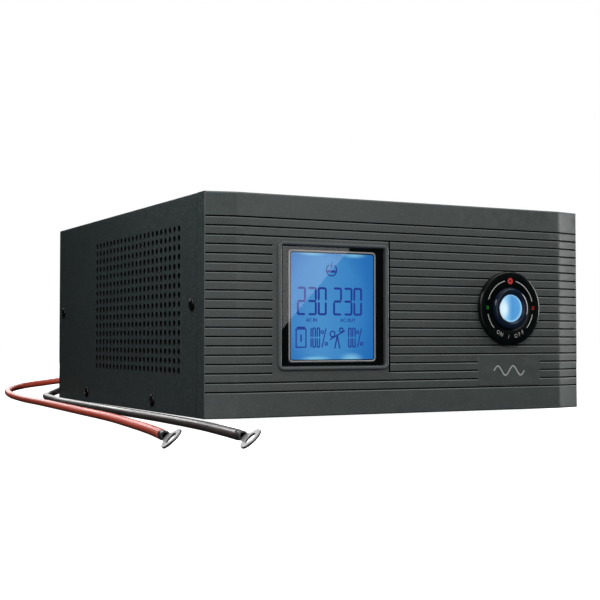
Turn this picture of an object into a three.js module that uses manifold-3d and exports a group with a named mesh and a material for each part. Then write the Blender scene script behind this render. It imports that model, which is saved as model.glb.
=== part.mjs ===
// Pure sine wave power inverter, bench-standing, with two bare battery leads.
// Millimetres. +Z up, the control panel faces -Y, X runs to the right when
// looking at the control panel. Z = 0 is the surface the rubber feet stand on.
import * as THREE from 'three';
import Module from 'manifold-3d';

const wasm = await Module();
wasm.setup();

// ---- driving dimensions ----
const CASE_W = 291.5;         // overall width, across the panel's outer corners
const CASE_D = 316.4;         // control panel face to rear panel face
const CASE_H = 140;           // sheet metal case, without feet
const FOOT_H = 3;
const FRONT_PROUD = 5.6;      // power button in front of the control panel
const REAR_PROUD = 14;        // cable glands behind the rear panel
const GAP = 0.3;              // assembly gap between touching pieces
const SHEET = 1.5;            // steel sheet thickness

const FRONT_Y = FRONT_PROUD - (CASE_D + FRONT_PROUD + REAR_PROUD) / 2;
const REAR_Y = FRONT_Y + CASE_D;
const Z0 = FOOT_H;
const Z1 = FOOT_H + CASE_H;
const HALF_W = CASE_W / 2;

const PANEL_DEPTH = 16.3;     // moulded front panel, front to back
const CHAMFER_W = 19.85;      // angled side facets of the front panel
const CHAMFER_D = 4.6;
const PANEL_WALL = 2.6;

const GROOVE_COUNT = 20;
const GROOVE_TOP_Z = Z0 + 124.8;
const GROOVE_BOTTOM_Z = Z0 + 16.2;
const GROOVE_W = 0.9;
const GROOVE_DEPTH = 0.9;
const GROOVE_PITCH = (GROOVE_TOP_Z - GROOVE_BOTTOM_Z) / (GROOVE_COUNT - 1);

const DISPLAY = { x: -57.6, z: 72.9, w: 81, h: 81.5 };
const DISPLAY_ZONE = { left: -101.6, right: -15.9 };   // smooth field round the display
const BUTTON = { x: 80.2, z: 73.2 };
const BEZEL_R = 25.6;
const CAP_R = 14.5;
const LENS_R = 10;
const BADGE = { left: 55.2, right: 108, bottom: 20, top: 40.4 };

const VENT_ROWS = 16;
const VENT_ROW_PITCH = 6.1;
const VENT_SLOTS = 3;         // slots in each row
const VENT_SLOT_H = 3.6;
const VENT = { front: 46.5, rear: 215, low: 31.7 };    // front and rear count from the panel face

const FOOT_X = 105;           // feet, either way from the middle of the case
const FOOT_Y = 95;

const SCREW_HEAD_R = 3.9;
const SIDE_SCREWS = [[24, 70.5], [303, 70.5], [93.5, 7.5], [239, 7.5]];

const FAN = { x: 82, z: 82, size: 80, depth: 25 };
const OUTLETS = [{ name: 'a', x: 5, z: 94 }, { name: 'b', x: -60, z: 94 }];
const INLET = { x: -25, z: 34 };
const BREAKER = { x: 20, z: 34 };
const GLANDS = { red: { x: -78, z: 24 }, black: { x: -104, z: 24 } };

const LEAD_D = 5.5;
const LEAD_SIDES = 8;
const RING_OD = 12.4;
const RING_HOLE = 6.5;
const RING_ROLL = 44;         // degrees the ring terminals lie rolled over

// Centre lines of the two leads where they lie, gland to ring terminal.
const LEAD_RED_ROUTE = [
  [-78, REAR_Y + 14.3, 24], [-78, REAR_Y + 20, 24], [-79.5, 193, 23.2], [-86, 214, 20.5],
  [-100, 231, 17], [-119, 240, 14.3], [-137, 241, 12.1], [-152, 236, 10.6],
  [-166.5, 223, 8.8], [-176.5, 204, 6.9], [-179.5, 182, 4.9], [-178.5, 150, 3.3],
  [-178.5, 92, 2.8], [-180, 60, 2.8], [-184.8, -32, 2.8], [-188.8, -107, 2.8],
  [-196, -166, 3], [-205, -220, 3.6], [-214.5, -260, 4.6], [-222, -286.6, 5.55],
];
const LEAD_BLACK_ROUTE = [
  [-104, REAR_Y + 14.3, 24], [-104, REAR_Y + 20, 24], [-105.8, 182.9, 22.8], [-110.8, 190.5, 19.3],
  [-118.4, 195.5, 14.4], [-127.3, 197.3, 9.6], [-136.2, 195.5, 6.2], [-143.8, 190.5, 4.3],
  [-148.8, 182.9, 3.3], [-150.9, 174, 2.9], [-152.8, 158, 2.8], [-155.8, 133, 2.8],
  [-159.4, 103, 2.8], [-160.4, 57, 2.8], [-161.2, 7, 2.8], [-162.6, -72, 2.8],
  [-162.8, -130, 2.8], [-169, -206, 3.4], [-181, -264, 4.8], [-189.5, -304.6, 5.55],
];
const RING_RED = { centre: [-223.4, -302, 4.9], yaw: 7 };
const RING_BLACK = { centre: [-190.5, -320, 4.9], yaw: 6 };

// ---- helpers ----
const root = new THREE.Group();
root.name = 'power_inverter';

function material(color, roughness, metalness) {
  return new THREE.MeshStandardMaterial({ color, roughness, metalness });
}

// Closed, welded, outward-facing solid from any three.js geometry.
function solid(geometry) {
  const source = geometry.index ? geometry.toNonIndexed() : geometry;
  const position = source.getAttribute('position');
  const seen = new Map();
  const points = [];
  const corners = [];
  for (let i = 0; i < position.count; i++) {
    const p = [position.getX(i), position.getY(i), position.getZ(i)];
    const key = p.map((v) => Math.round(v * 2000)).join(',');
    if (!seen.has(key)) {
      seen.set(key, points.length);
      points.push(p);
    }
    corners.push(seen.get(key));
  }
  const faces = [];
  let volume = 0;
  for (let i = 0; i < corners.length; i += 3) {
    const [a, b, c] = [corners[i], corners[i + 1], corners[i + 2]];
    if (a === b || b === c || a === c) continue;
    faces.push([a, b, c]);
    const [p, q, r] = [points[a], points[b], points[c]];
    volume += p[0] * (q[1] * r[2] - q[2] * r[1]);
    volume += p[1] * (q[2] * r[0] - q[0] * r[2]);
    volume += p[2] * (q[0] * r[1] - q[1] * r[0]);
  }
  const ordered = volume < 0 ? faces.map(([a, b, c]) => [a, c, b]) : faces;
  const mesh = new wasm.Mesh({
    numProp: 3,
    vertProperties: new Float32Array(points.flat()),
    triVerts: new Uint32Array(ordered.flat()),
  });
  return new wasm.Manifold(mesh);
}

function put(name, body, mat) {
  const out = body.getMesh();
  const geometry = new THREE.BufferGeometry();
  geometry.setAttribute('position', new THREE.Float32BufferAttribute(out.vertProperties, 3));
  geometry.setIndex(Array.from(out.triVerts));
  geometry.computeVertexNormals();
  const mesh = new THREE.Mesh(geometry, mat);
  mesh.name = name;
  root.add(mesh);
}

function box(x0, x1, y0, y1, z0, z1) {
  const geometry = new THREE.BoxGeometry(x1 - x0, y1 - y0, z1 - z0);
  geometry.translate((x0 + x1) / 2, (y0 + y1) / 2, (z0 + z1) / 2);
  return solid(geometry);
}

function polygon(points) {
  return new THREE.Shape(points.map(([x, y]) => new THREE.Vector2(x, y)));
}

function circlePath(x, z, r, sides) {
  const path = new THREE.Path();
  for (let i = 0; i < sides; i++) {
    const a = (i / sides) * Math.PI * 2;
    const p = [x + r * Math.cos(a), z + r * Math.sin(a)];
    if (i === 0) path.moveTo(...p);
    else path.lineTo(...p);
  }
  path.closePath();
  return path;
}

function circleShape(x, z, r, sides) {
  return new THREE.Shape(circlePath(x, z, r, sides).getPoints());
}

function roundedPoints(x, z, w, h, r, steps = 3) {
  const points = [];
  const corners = [[1, 1, 0], [-1, 1, 90], [-1, -1, 180], [1, -1, 270]];
  for (const [sx, sz, start] of corners) {
    for (let i = 0; i <= steps; i++) {
      const a = THREE.MathUtils.degToRad(start + (90 * i) / steps);
      points.push([
        x + sx * (w / 2 - r) + r * Math.cos(a),
        z + sz * (h / 2 - r) + r * Math.sin(a),
      ]);
    }
  }
  return points;
}

function roundedShape(x, z, w, h, r, steps) {
  return polygon(roundedPoints(x, z, w, h, r, steps));
}

function addHole(shape, points) {
  shape.holes.push(new THREE.Path(points.map(([x, y]) => new THREE.Vector2(x, y))));
}

// Extrude an (x, z) shape along Y, from y0 to y1.
function slabY(shape, y0, y1) {
  const geometry = new THREE.ExtrudeGeometry(shape, { depth: y1 - y0, bevelEnabled: false });
  geometry.rotateX(Math.PI / 2);
  geometry.translate(0, y1, 0);
  return solid(geometry);
}

// Extrude an (x, y) shape along Z, from z0 to z1.
function slabZ(shape, z0, z1) {
  const geometry = new THREE.ExtrudeGeometry(shape, { depth: z1 - z0, bevelEnabled: false });
  geometry.translate(0, 0, z0);
  return solid(geometry);
}

// Turn a profile of [radius, y] pairs round an axis along Y through (x, z).
function turnY(profile, x, z, segments) {
  const points = profile.map(([r, y]) => new THREE.Vector2(r, y));
  const geometry = new THREE.LatheGeometry(points, segments);
  geometry.translate(x, 0, z);
  return solid(geometry);
}

function union(parts) {
  return parts.reduce((sum, part) => sum.add(part));
}

// ---- materials ----
const M = {
  steel: material(0x232b2b, 0.6, 0.4),
  panel: material(0x464c4c, 0.55, 0),
  bezel: material(0x505454, 0.45, 0),
  glass: material(0x0b0f10, 0.06, 0),
  silver: material(0xb8bcbf, 0.35, 0.8),
  lcd: material(0x3c8fd0, 0.3, 0),
  board: material(0x1f5a38, 0.6, 0),
  black: material(0x0b0d0e, 0.2, 0),
  navy: material(0x18222f, 0.25, 0),
  lens: material(0xbfe6ff, 0.25, 0),
  rubber: material(0x151515, 0.9, 0),
  zinc: material(0x9a9c9c, 0.35, 0.9),
  blackZinc: material(0x17191a, 0.3, 0.6),
  plastic: material(0x17191a, 0.5, 0),
  redCable: material(0xb94b32, 0.45, 0),
  blackCable: material(0x2c2a2a, 0.45, 0),
  tin: material(0xd6d6d2, 0.25, 1),
  copper: material(0xa8602c, 0.4, 0.6),
  iron: material(0x555657, 0.6, 0.6),
  alu: material(0xa9adaf, 0.4, 0.9),
  sleeve: material(0x1c3f7a, 0.4, 0),
};

// ---- sheet metal case ----
function baseChassis() {
  const x = HALF_W - SHEET - GAP;
  const rise = 14;
  const outline = polygon([
    [-x, Z0], [x, Z0], [x, Z0 + rise], [x - SHEET, Z0 + rise],
    [x - SHEET, Z0 + SHEET], [-x + SHEET, Z0 + SHEET], [-x + SHEET, Z0 + rise], [-x, Z0 + rise],
  ]);
  let body = slabY(outline, FRONT_Y + PANEL_DEPTH + GAP, REAR_Y - SHEET - GAP);
  for (const side of [-1, 1]) {
    for (const [y, z] of SIDE_SCREWS.filter((s) => s[1] < rise)) {
      body = body.subtract(sideHole(side, y, z, 2.4));
    }
  }
  put('base_chassis', body, M.steel);
}

function sideHole(side, fromFront, fromBase, r) {
  const geometry = new THREE.CylinderGeometry(r, r, 12, 12);
  geometry.rotateZ(Math.PI / 2);
  geometry.translate(side * (HALF_W - 3), FRONT_Y + fromFront, Z0 + fromBase);
  return solid(geometry);
}

function coverProfile() {
  const bend = 3;
  const outer = [];
  const inner = [];
  for (let i = 0; i <= 3; i++) {
    const a = (i / 3) * (Math.PI / 2);
    outer.push([HALF_W - bend + bend * Math.cos(a), Z1 - bend + bend * Math.sin(a)]);
    const r = bend - SHEET;
    inner.push([HALF_W - bend + r * Math.cos(a), Z1 - bend + r * Math.sin(a)]);
  }
  const mirror = (points) => points.map(([x, z]) => [-x, z]).reverse();
  return polygon([
    [HALF_W, Z0], ...outer, ...mirror(outer), [-HALF_W, Z0],
    [-HALF_W + SHEET, Z0], ...mirror(inner).reverse(), ...inner.slice().reverse(), [HALF_W - SHEET, Z0],
  ]);
}

function topCover() {
  let body = slabY(coverProfile(), FRONT_Y + PANEL_DEPTH + GAP, REAR_Y);
  const pitch = (VENT.rear - VENT.front) / VENT_SLOTS;
  for (let row = 0; row < VENT_ROWS; row++) {
    const z = VENT.low + row * VENT_ROW_PITCH;
    for (let n = 0; n < VENT_SLOTS; n++) {
      const y = FRONT_Y + VENT.front + n * pitch;
      const slot = box(-HALF_W - 5, HALF_W + 5, y, y + pitch - 4, z - VENT_SLOT_H / 2, z + VENT_SLOT_H / 2);
      body = body.subtract(slot);
    }
  }
  for (const side of [-1, 1]) {
    for (const [y, z] of SIDE_SCREWS) {
      body = body.subtract(sideHole(side, y, z, 2.4));
    }
  }
  put('top_cover', body, M.steel);
}

function sideScrews() {
  const head = HALF_W + GAP;
  const profile = [
    [0, head - 7], [1.7, head - 7], [2, head - 6.4], [2, head],
    [SCREW_HEAD_R, head], [SCREW_HEAD_R, head + 0.9], [2.6, head + 2], [0, head + 2.2],
  ];
  for (const [label, side] of [['left', -1], ['right', 1]]) {
    SIDE_SCREWS.forEach(([y, z], i) => {
      const points = profile.map(([r, h]) => new THREE.Vector2(r, h));
      const geometry = new THREE.LatheGeometry(points, 12);
      geometry.rotateZ(side * -Math.PI / 2);
      geometry.translate(0, FRONT_Y + y, Z0 + z);
      put(`side_screw_${label}_${i + 1}`, solid(geometry), M.blackZinc);
    });
  }
}

function rearPanel() {
  const x = HALF_W - SHEET - GAP;
  const low = Z0 + SHEET + GAP;
  const high = Z1 - SHEET - GAP;
  const shape = polygon([[-x, low], [x, low], [x, high - 2], [x - 2, high], [-x + 2, high], [-x, high - 2]]);
  shape.holes.push(circlePath(FAN.x, FAN.z, 37, 32));
  for (const outlet of OUTLETS) {
    shape.holes.push(circlePath(outlet.x, outlet.z, 22, 24));
  }
  addHole(shape, roundedPoints(INLET.x, INLET.z, 28.6, 37.6, 0.2, 1));
  shape.holes.push(circlePath(BREAKER.x, BREAKER.z, 5.8, 16));
  for (const gland of Object.values(GLANDS)) {
    shape.holes.push(circlePath(gland.x, gland.z, 6.4, 16));
  }
  put('rear_panel', slabY(shape, REAR_Y - SHEET, REAR_Y), M.steel);
}

function feet() {
  const places = [['front_left', -1, -1], ['front_right', 1, -1], ['rear_left', -1, 1], ['rear_right', 1, 1]];
  for (const [label, sx, sy] of places) {
    const profile = [[0, 0], [8.5, 0], [9.5, 0.8], [9.5, FOOT_H - GAP], [0, FOOT_H - GAP]];
    const points = profile.map(([r, h]) => new THREE.Vector2(r, h));
    const geometry = new THREE.LatheGeometry(points, 16);
    geometry.rotateX(Math.PI / 2);
    geometry.translate(sx * FOOT_X, (FRONT_Y + REAR_Y) / 2 + sy * FOOT_Y, 0);
    put(`foot_${label}`, solid(geometry), M.rubber);
  }
}

// ---- moulded front panel ----
function panelPlan(inset, frontInset) {
  const x = HALF_W - inset;
  const facet = HALF_W - CHAMFER_W - inset * 0.15;
  const back = FRONT_Y + PANEL_DEPTH + (inset ? 1 : 0);
  return polygon([
    [-x, back], [-x, FRONT_Y + CHAMFER_D + frontInset * 0.5], [-facet, FRONT_Y + frontInset],
    [facet, FRONT_Y + frontInset], [x, FRONT_Y + CHAMFER_D + frontInset * 0.5], [x, back],
  ]);
}

function grooveCutter(index) {
  const z = GROOVE_TOP_Z - index * GROOVE_PITCH;
  const facet = HALF_W - CHAMFER_W;
  const plan = polygon([
    [-HALF_W - 2, FRONT_Y + CHAMFER_D + 1.4], [-facet, FRONT_Y + GROOVE_DEPTH],
    [facet, FRONT_Y + GROOVE_DEPTH], [HALF_W + 2, FRONT_Y + CHAMFER_D + 1.4],
    [HALF_W + 2, FRONT_Y - 3], [-HALF_W - 2, FRONT_Y - 3],
  ]);
  let cutter = slabZ(plan, z - GROOVE_W / 2, z + GROOVE_W / 2);
  if (index >= 3 && index <= 17) {
    const field = box(DISPLAY_ZONE.left, DISPLAY_ZONE.right, FRONT_Y - 5, FRONT_Y + 5, z - 2, z + 2);
    cutter = cutter.subtract(field);
  }
  if (index >= 16 && index <= 18) {
    cutter = cutter.subtract(box(BADGE.left, BADGE.right, FRONT_Y - 5, FRONT_Y + 5, z - 2, z + 2));
  }
  return cutter;
}

function frontPanel() {
  let body = slabZ(panelPlan(0, 0), Z0, Z1);
  body = body.subtract(slabZ(panelPlan(PANEL_WALL, 3), Z0 + PANEL_WALL, Z1 - PANEL_WALL));
  for (let i = 0; i < GROOVE_COUNT; i++) {
    body = body.subtract(grooveCutter(i));
  }
  const edge = DISPLAY_ZONE.right;
  const top = GROOVE_TOP_Z - 2 * GROOVE_PITCH - 1.5;
  const bottom = GROOVE_BOTTOM_Z + 2 * GROOVE_PITCH - 1;
  body = body.subtract(box(edge - 0.5, edge + 0.5, FRONT_Y - 3, FRONT_Y + GROOVE_DEPTH, bottom, top));
  const opening = roundedShape(DISPLAY.x, DISPLAY.z, DISPLAY.w + 2 * GAP, DISPLAY.h + 2 * GAP, 4.3);
  body = body.subtract(slabY(opening, FRONT_Y - 5, FRONT_Y + 8));
  body = body.subtract(slabY(circleShape(BUTTON.x, BUTTON.z, 18.3, 32), FRONT_Y - 5, FRONT_Y + 8));
  const { left, right, bottom: low, top: high } = BADGE;
  body = body.subtract(box(left, right, FRONT_Y - 3, FRONT_Y + 1.3, low, high));
  put('front_panel', body, M.panel);
}

function badgePlate() {
  const { left, right, bottom, top } = BADGE;
  const y = FRONT_Y + 1.3 - GAP;
  put('badge_plate', box(left + GAP, right - GAP, FRONT_Y, y, bottom + GAP, top - GAP), M.panel);
}

// ---- display ----
function frameY(w, h, r, innerW, innerH, innerR, y0, y1) {
  const shape = roundedShape(DISPLAY.x, DISPLAY.z, w, h, r);
  addHole(shape, roundedPoints(DISPLAY.x, DISPLAY.z, innerW, innerH, innerR));
  return slabY(shape, y0, y1);
}

function display() {
  const { x, z, w, h } = DISPLAY;
  const lip = frameY(w - 0.8, h - 0.8, 3.6, w - 4.6, h - 4.6, 2, FRONT_Y - 1.6, FRONT_Y - 1);
  const ring = frameY(w, h, 4, w - 5.2, h - 5.2, 1.8, FRONT_Y - 1.1, FRONT_Y + 3);
  put('display_bezel', union([lip, ring]), M.bezel);

  const glassW = w - 5.2 - 2 * GAP;
  const glassH = h - 5.2 - 2 * GAP;
  put('display_glass', slabY(roundedShape(x, z, glassW, glassH, 1.6), FRONT_Y - 0.4, FRONT_Y + 0.8), M.glass);
  const maskY = FRONT_Y + 0.8 + GAP;
  put('display_mask', frameY(glassW, glassH, 1.6, 64.6, 72, 1, maskY, maskY + 0.6), M.black);
  put('display_trim', frameY(64, 71.4, 1.2, 61.8, 69.2, 0.6, maskY, maskY + 1.6), M.silver);
  put('lcd_panel', slabY(roundedShape(x, z, 61.2, 68.6, 0.6), maskY + 0.5, maskY + 5), M.lcd);
  put('display_board', box(x - 38, x + 38, maskY + 6.5, maskY + 8.1, z - 39, z + 39), M.board);
}

// ---- power button ----
function powerButton() {
  const { x, z } = BUTTON;
  const f = FRONT_Y;
  const inner = CAP_R + GAP;
  const bezel = [
    [inner, f - 3.7], [inner + 0.4, f - 4], [BEZEL_R - 1.2, f - 4], [BEZEL_R - 0.3, f - 3.6],
    [BEZEL_R, f - 2.8], [BEZEL_R, f - GAP], [18, f - GAP], [18, f + 6], [inner, f + 6], [inner, f - 3.7],
  ];
  put('button_bezel', turnY(bezel, x, z, 40), M.black);

  const cap = [
    [0, f - 2.4], [LENS_R + GAP, f - 2.4], [LENS_R + GAP, f - 5.1], [LENS_R + 1.1, f - 5.6],
    [CAP_R - 1.2, f - 5.5], [CAP_R, f - 4.4], [CAP_R, f + 4], [3, f + 4], [3, f + 7], [0, f + 7],
  ];
  put('power_button', turnY(cap, x, z, 32), M.navy);

  const lens = [
    [0, f - 5.4], [LENS_R * 0.6, f - 5.3], [LENS_R - 0.6, f - 5], [LENS_R, f - 4.6],
    [LENS_R, f - 2.4 - GAP], [0, f - 2.4 - GAP],
  ];
  put('button_lens', turnY(lens, x, z, 32), M.lens);

  const s = f + 7 + 2 + GAP;
  const actuator = turnY([[0, s], [2, s], [2, s + 2], [0, s + 2]], x, z, 16);
  const can = box(x - 6, x + 6, s + 1.8, s + 6, z - 6, z + 6);
  put('tactile_switch', union([actuator, can]), M.plastic);
  const b = s + 6 + GAP;
  put('button_board', box(x - 22, x + 22, b, b + 1.6, z - 20, z + 20), M.board);
}

// ---- fan ----
function fan() {
  const y1 = REAR_Y - SHEET - GAP;
  const y0 = y1 - FAN.depth;
  const half = FAN.size / 2;
  const shape = roundedShape(FAN.x, FAN.z, FAN.size, FAN.size, 4, 2);
  shape.holes.push(circlePath(FAN.x, FAN.z, 38, 32));
  for (const [sx, sz] of [[-1, -1], [1, -1], [1, 1], [-1, 1]]) {
    shape.holes.push(circlePath(FAN.x + sx * 35.75, FAN.z + sz * 35.75, 2.1, 8));
  }
  let frame = slabY(shape, y0, y1);
  frame = frame.add(slabY(circleShape(FAN.x, FAN.z, 15, 20), y0, y0 + 3));
  for (let i = 0; i < 4; i++) {
    const strut = new THREE.BoxGeometry(26, 3, 4);
    strut.translate(26.5, 0, 0);
    strut.rotateY(Math.PI / 4 + (i * Math.PI) / 2);
    strut.translate(FAN.x, y0 + 1.5, FAN.z);
    frame = frame.add(solid(strut));
  }
  put('fan_frame', frame, M.plastic);

  const hub = [
    [0, y0 + 3.6], [14, y0 + 3.6], [15, y0 + 4.6], [15, y1 - 2.6], [14, y1 - 1.6], [0, y1 - 1.6],
  ];
  let rotor = turnY(hub, FAN.x, FAN.z, 24);
  for (let i = 0; i < 7; i++) {
    const blade = new THREE.BoxGeometry(23, 1.6, 21);
    blade.rotateX(THREE.MathUtils.degToRad(42));
    blade.translate(25, 0, 0);
    blade.rotateY((i / 7) * Math.PI * 2);
    blade.translate(FAN.x, (y0 + y1) / 2 + 0.8, FAN.z);
    rotor = rotor.add(solid(blade));
  }
  put('fan_rotor', rotor, M.plastic);

  const g0 = REAR_Y + GAP;
  const parts = [];
  for (const r of [10, 18, 26, 34]) {
    const ring = circleShape(FAN.x, FAN.z, r + 1, 24);
    ring.holes.push(circlePath(FAN.x, FAN.z, r - 1, 24));
    parts.push(slabY(ring, g0, g0 + 2));
  }
  for (let i = 0; i < 4; i++) {
    const spoke = new THREE.BoxGeometry(39, 1.8, 3);
    spoke.translate(28.5, 0, 0);
    spoke.rotateY(Math.PI / 4 + (i * Math.PI) / 2);
    spoke.translate(FAN.x, g0 + 0.9, FAN.z);
    parts.push(solid(spoke));
  }
  put('fan_guard', union(parts), M.zinc);
}

// ---- mains side ----
function acOutlet(outlet) {
  const { x, z } = outlet;
  const face = REAR_Y + GAP;
  const plate = roundedShape(x, z, 54, 54, 5, 2);
  plate.holes.push(circlePath(x, z, 19.5, 32));
  const shell = circleShape(x, z, 21.5, 32);
  shell.holes.push(circlePath(x, z, 19.5, 32));
  const floor = circleShape(x, z, 21.5, 32);
  for (const side of [-1, 1]) {
    floor.holes.push(circlePath(x + side * 9.5, z, 2.7, 12));
  }
  const body = union([
    slabY(plate, face, face + 3),
    slabY(shell, face - 14.5, face + 0.5),
    slabY(floor, face - 20, face - 14.4),
    box(x - 2.5, x + 2.5, face - 14.6, face - 1, z + 18, z + 20),
    box(x - 2.5, x + 2.5, face - 14.6, face - 1, z - 20, z - 18),
  ]);
  put(`ac_outlet_${outlet.name}`, body, M.black);
}

function inletAndFuse() {
  const { x, z } = INLET;
  const face = REAR_Y + GAP;
  let body = slabY(roundedShape(x, z, 31, 44, 2, 2), face, face + 2.5);
  body = body.add(box(x - 14, x + 14, face - 24, face + 0.5, z - 18.5, z + 18.5));
  const recess = polygon([
    [x - 12.2, z - 2.2], [x + 12.2, z - 2.2], [x + 12.2, z + 10.4], [x + 8.5, z + 14.2],
    [x - 8.5, z + 14.2], [x - 12.2, z + 10.4],
  ]);
  body = body.subtract(slabY(recess, face - 15, face + 5));
  body = body.subtract(box(x - 12, x + 12, face - 22, face + 5, z - 15, z - 5.5));
  put('ac_inlet', body, M.black);

  const tray = box(x - 11.7, x + 11.7, face - 20, face + 2.5, z - 14.7, z - 5.8);
  const well = box(x - 10, x + 10, face - 18, face - 3, z - 12.5, z - 5);
  const grip = box(x - 6, x + 6, face + 2.3, face + 3.6, z - 8.4, z - 6.6);
  put('fuse_drawer', tray.subtract(well).add(grip), M.plastic);
  put('mains_fuse', box(x - 9.6, x + 9.6, face - 12, face - 6.8, z - 12.2, z - 7), M.silver);
}

function breaker() {
  const { x, z } = BREAKER;
  const face = REAR_Y + GAP;
  const nut = circleShape(x, z, 9.2, 6);
  nut.holes.push(circlePath(x, z, 4.3, 16));
  const bush = circleShape(x, z, 5.4, 16);
  bush.holes.push(circlePath(x, z, 4.3, 16));
  const body = union([
    slabY(nut, face, face + 4),
    slabY(bush, face - 8, face + 6),
    box(x - 9, x + 9, face - 36, face - 7.8, z - 16, z + 16),
  ]);
  put('breaker_body', body, M.plastic);
  const button = [
    [0, face - 6.5], [4, face - 6.5], [4, face + 7.4], [3.4, face + 8], [0, face + 8],
  ];
  put('breaker_button', turnY(button, x, z, 16), M.bezel);
}

// ---- battery leads ----
function gland(name, place, mat) {
  const face = REAR_Y + GAP;
  const end = REAR_Y + REAR_PROUD;
  const nut = circleShape(place.x, place.z, 9, 6);
  const dome = [
    [0, face + 3.8], [8, face + 3.8], [8, end - 4], [6.6, end - 1.2], [4.6, end], [0, end],
  ];
  const body = union([
    slabY(nut, face, face + 4),
    turnY(dome, place.x, place.z, 16),
    slabY(circleShape(place.x, place.z, 6, 16), REAR_Y - 10, face + 0.5),
  ]);
  put(name, body, mat);
}

function lead(name, route, mat) {
  const points = route.map((p) => new THREE.Vector3(...p));
  const path = new THREE.CatmullRomCurve3(points, false, 'centripetal');
  const section = circleShape(0, 0, LEAD_D / 2, LEAD_SIDES);
  const options = { steps: 60, extrudePath: path, bevelEnabled: false };
  put(name, solid(new THREE.ExtrudeGeometry(section, options)), mat);
}

// Local frame: X from the cable towards the ring, ring plate at Z = 0.
function ringTerminal(name, place) {
  const length = 15;          // barrel's cable end to ring centre
  const r = RING_OD / 2;
  const plate = new THREE.Shape(circlePath(0, 0, r, 28).getPoints());
  plate.holes.push(circlePath(0, 0, RING_HOLE / 2, 20));
  const neck = polygon([[-length + 4, -1.9], [-r + 1, -3], [-r + 1, 3], [-length + 4, 1.9]]);
  const flat = slabZ(plate, -0.6, 0.6).add(slabZ(neck, -0.6, 0.6));
  const bore = [[0, 0.8], [2.5, 0.8], [2.5, 6.2], [1.5, 6.2], [1.5, 3], [0, 3], [0, 0.8]];
  const points = bore.map(([radius, h]) => new THREE.Vector2(radius, h));
  const barrel = new THREE.LatheGeometry(points, 16);
  barrel.rotateZ(-Math.PI / 2);
  barrel.translate(-length, 0, 0.9);
  const terminal = flat.add(solid(barrel));
  const turned = terminal
    .rotate([RING_ROLL, 0, 0])
    .rotate([0, 0, -90 - place.yaw])
    .translate(place.centre);
  put(name, turned, M.tin);
}

// ---- power electronics inside ----
function electronics() {
  const floor = Z0 + SHEET + 6;
  put('main_board', box(-120, 10, FRONT_Y + 60, REAR_Y - 70, floor, floor + 1.6), M.board);
  const top = floor + 1.6 + GAP;
  heatSink('heat_sink_left', -118, top);
  heatSink('heat_sink_right', -30, top);
  for (let i = 0; i < 3; i++) {
    const geometry = new THREE.CylinderGeometry(11, 11, 42, 20);
    geometry.rotateX(Math.PI / 2);
    geometry.translate(-62, FRONT_Y + 85 + i * 26, top + 21);
    put(`capacitor_${i + 1}`, solid(geometry), M.sleeve);
  }
  put('changeover_relay', box(-75, -47, REAR_Y - 112, REAR_Y - 82, top, top + 26), M.black);
  transformer();
}

function heatSink(name, x, z) {
  const y0 = FRONT_Y + 66;
  const y1 = REAR_Y - 80;
  const points = [[x, z], [x + 30, z]];
  const fins = 4;
  const pitch = 30 / (fins * 2 - 1);
  for (let i = 0; i < fins; i++) {
    const right = x + 30 - i * 2 * pitch;
    if (i > 0) points.push([right, z + 5]);
    points.push([right, z + 38]);
    points.push([right - pitch, z + 38]);
    if (i < fins - 1) points.push([right - pitch, z + 5]);
  }
  put(name, slabY(polygon(points), y0, y1), M.alu);
}

function transformer() {
  const x = 74;
  const y = FRONT_Y + 120;
  const low = Z0 + SHEET + GAP;
  let core = box(x - 48, x + 48, y - 30, y + 30, low, low + 80);
  core = core.subtract(box(x - 32, x - 16, y - 40, y + 40, low + 16, low + 64));
  core = core.subtract(box(x + 16, x + 32, y - 40, y + 40, low + 16, low + 64));
  put('transformer_core', core, M.iron);
  const outer = roundedShape(x, y, 63, 91, 6, 2);
  addHole(outer, roundedPoints(x, y, 33, 61, 1, 1));
  put('transformer_winding', slabZ(outer, low + 17, low + 63), M.copper);
}

// ---- assembly ----
baseChassis();
topCover();
rearPanel();
feet();
sideScrews();
frontPanel();
badgePlate();
display();
powerButton();
fan();
OUTLETS.forEach(acOutlet);
inletAndFuse();
breaker();
gland('gland_red', GLANDS.red, M.redCable);
gland('gland_black', GLANDS.black, M.plastic);
lead('lead_red', LEAD_RED_ROUTE, M.redCable);
lead('lead_black', LEAD_BLACK_ROUTE, M.blackCable);
ringTerminal('ring_terminal_red', RING_RED);
ringTerminal('ring_terminal_black', RING_BLACK);
electronics();

export default root;
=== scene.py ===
# Looks of the power inverter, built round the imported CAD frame.
# Frame: +Z up, -Y out of the control panel, +X to the right of that panel.
# Lengths are written in millimetres and scaled to metres when a mesh is made.
import math
import random

import bmesh
import bpy
from mathutils import Matrix, Vector


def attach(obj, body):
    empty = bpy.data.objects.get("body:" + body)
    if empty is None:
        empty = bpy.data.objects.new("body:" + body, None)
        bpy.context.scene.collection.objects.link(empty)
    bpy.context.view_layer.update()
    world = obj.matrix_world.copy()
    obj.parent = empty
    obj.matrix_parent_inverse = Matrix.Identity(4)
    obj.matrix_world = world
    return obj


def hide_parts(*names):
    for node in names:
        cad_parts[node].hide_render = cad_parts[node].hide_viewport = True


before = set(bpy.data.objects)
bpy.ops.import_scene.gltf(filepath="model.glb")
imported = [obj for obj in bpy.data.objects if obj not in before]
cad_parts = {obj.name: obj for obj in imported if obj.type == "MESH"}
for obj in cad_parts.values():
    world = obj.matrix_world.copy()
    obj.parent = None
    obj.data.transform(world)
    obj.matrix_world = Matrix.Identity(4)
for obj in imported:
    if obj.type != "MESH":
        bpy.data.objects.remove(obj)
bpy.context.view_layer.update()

MM = 0.001
FRONT_Y = -162.4
REAR_Y = 154.0
REAR_FACE = REAR_Y + 0.3
HALF_W = 145.75
Z0 = 3.0
Z1 = 143.0
SHEET = 1.5
VISIBLE_SHEET = 1.0

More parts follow.
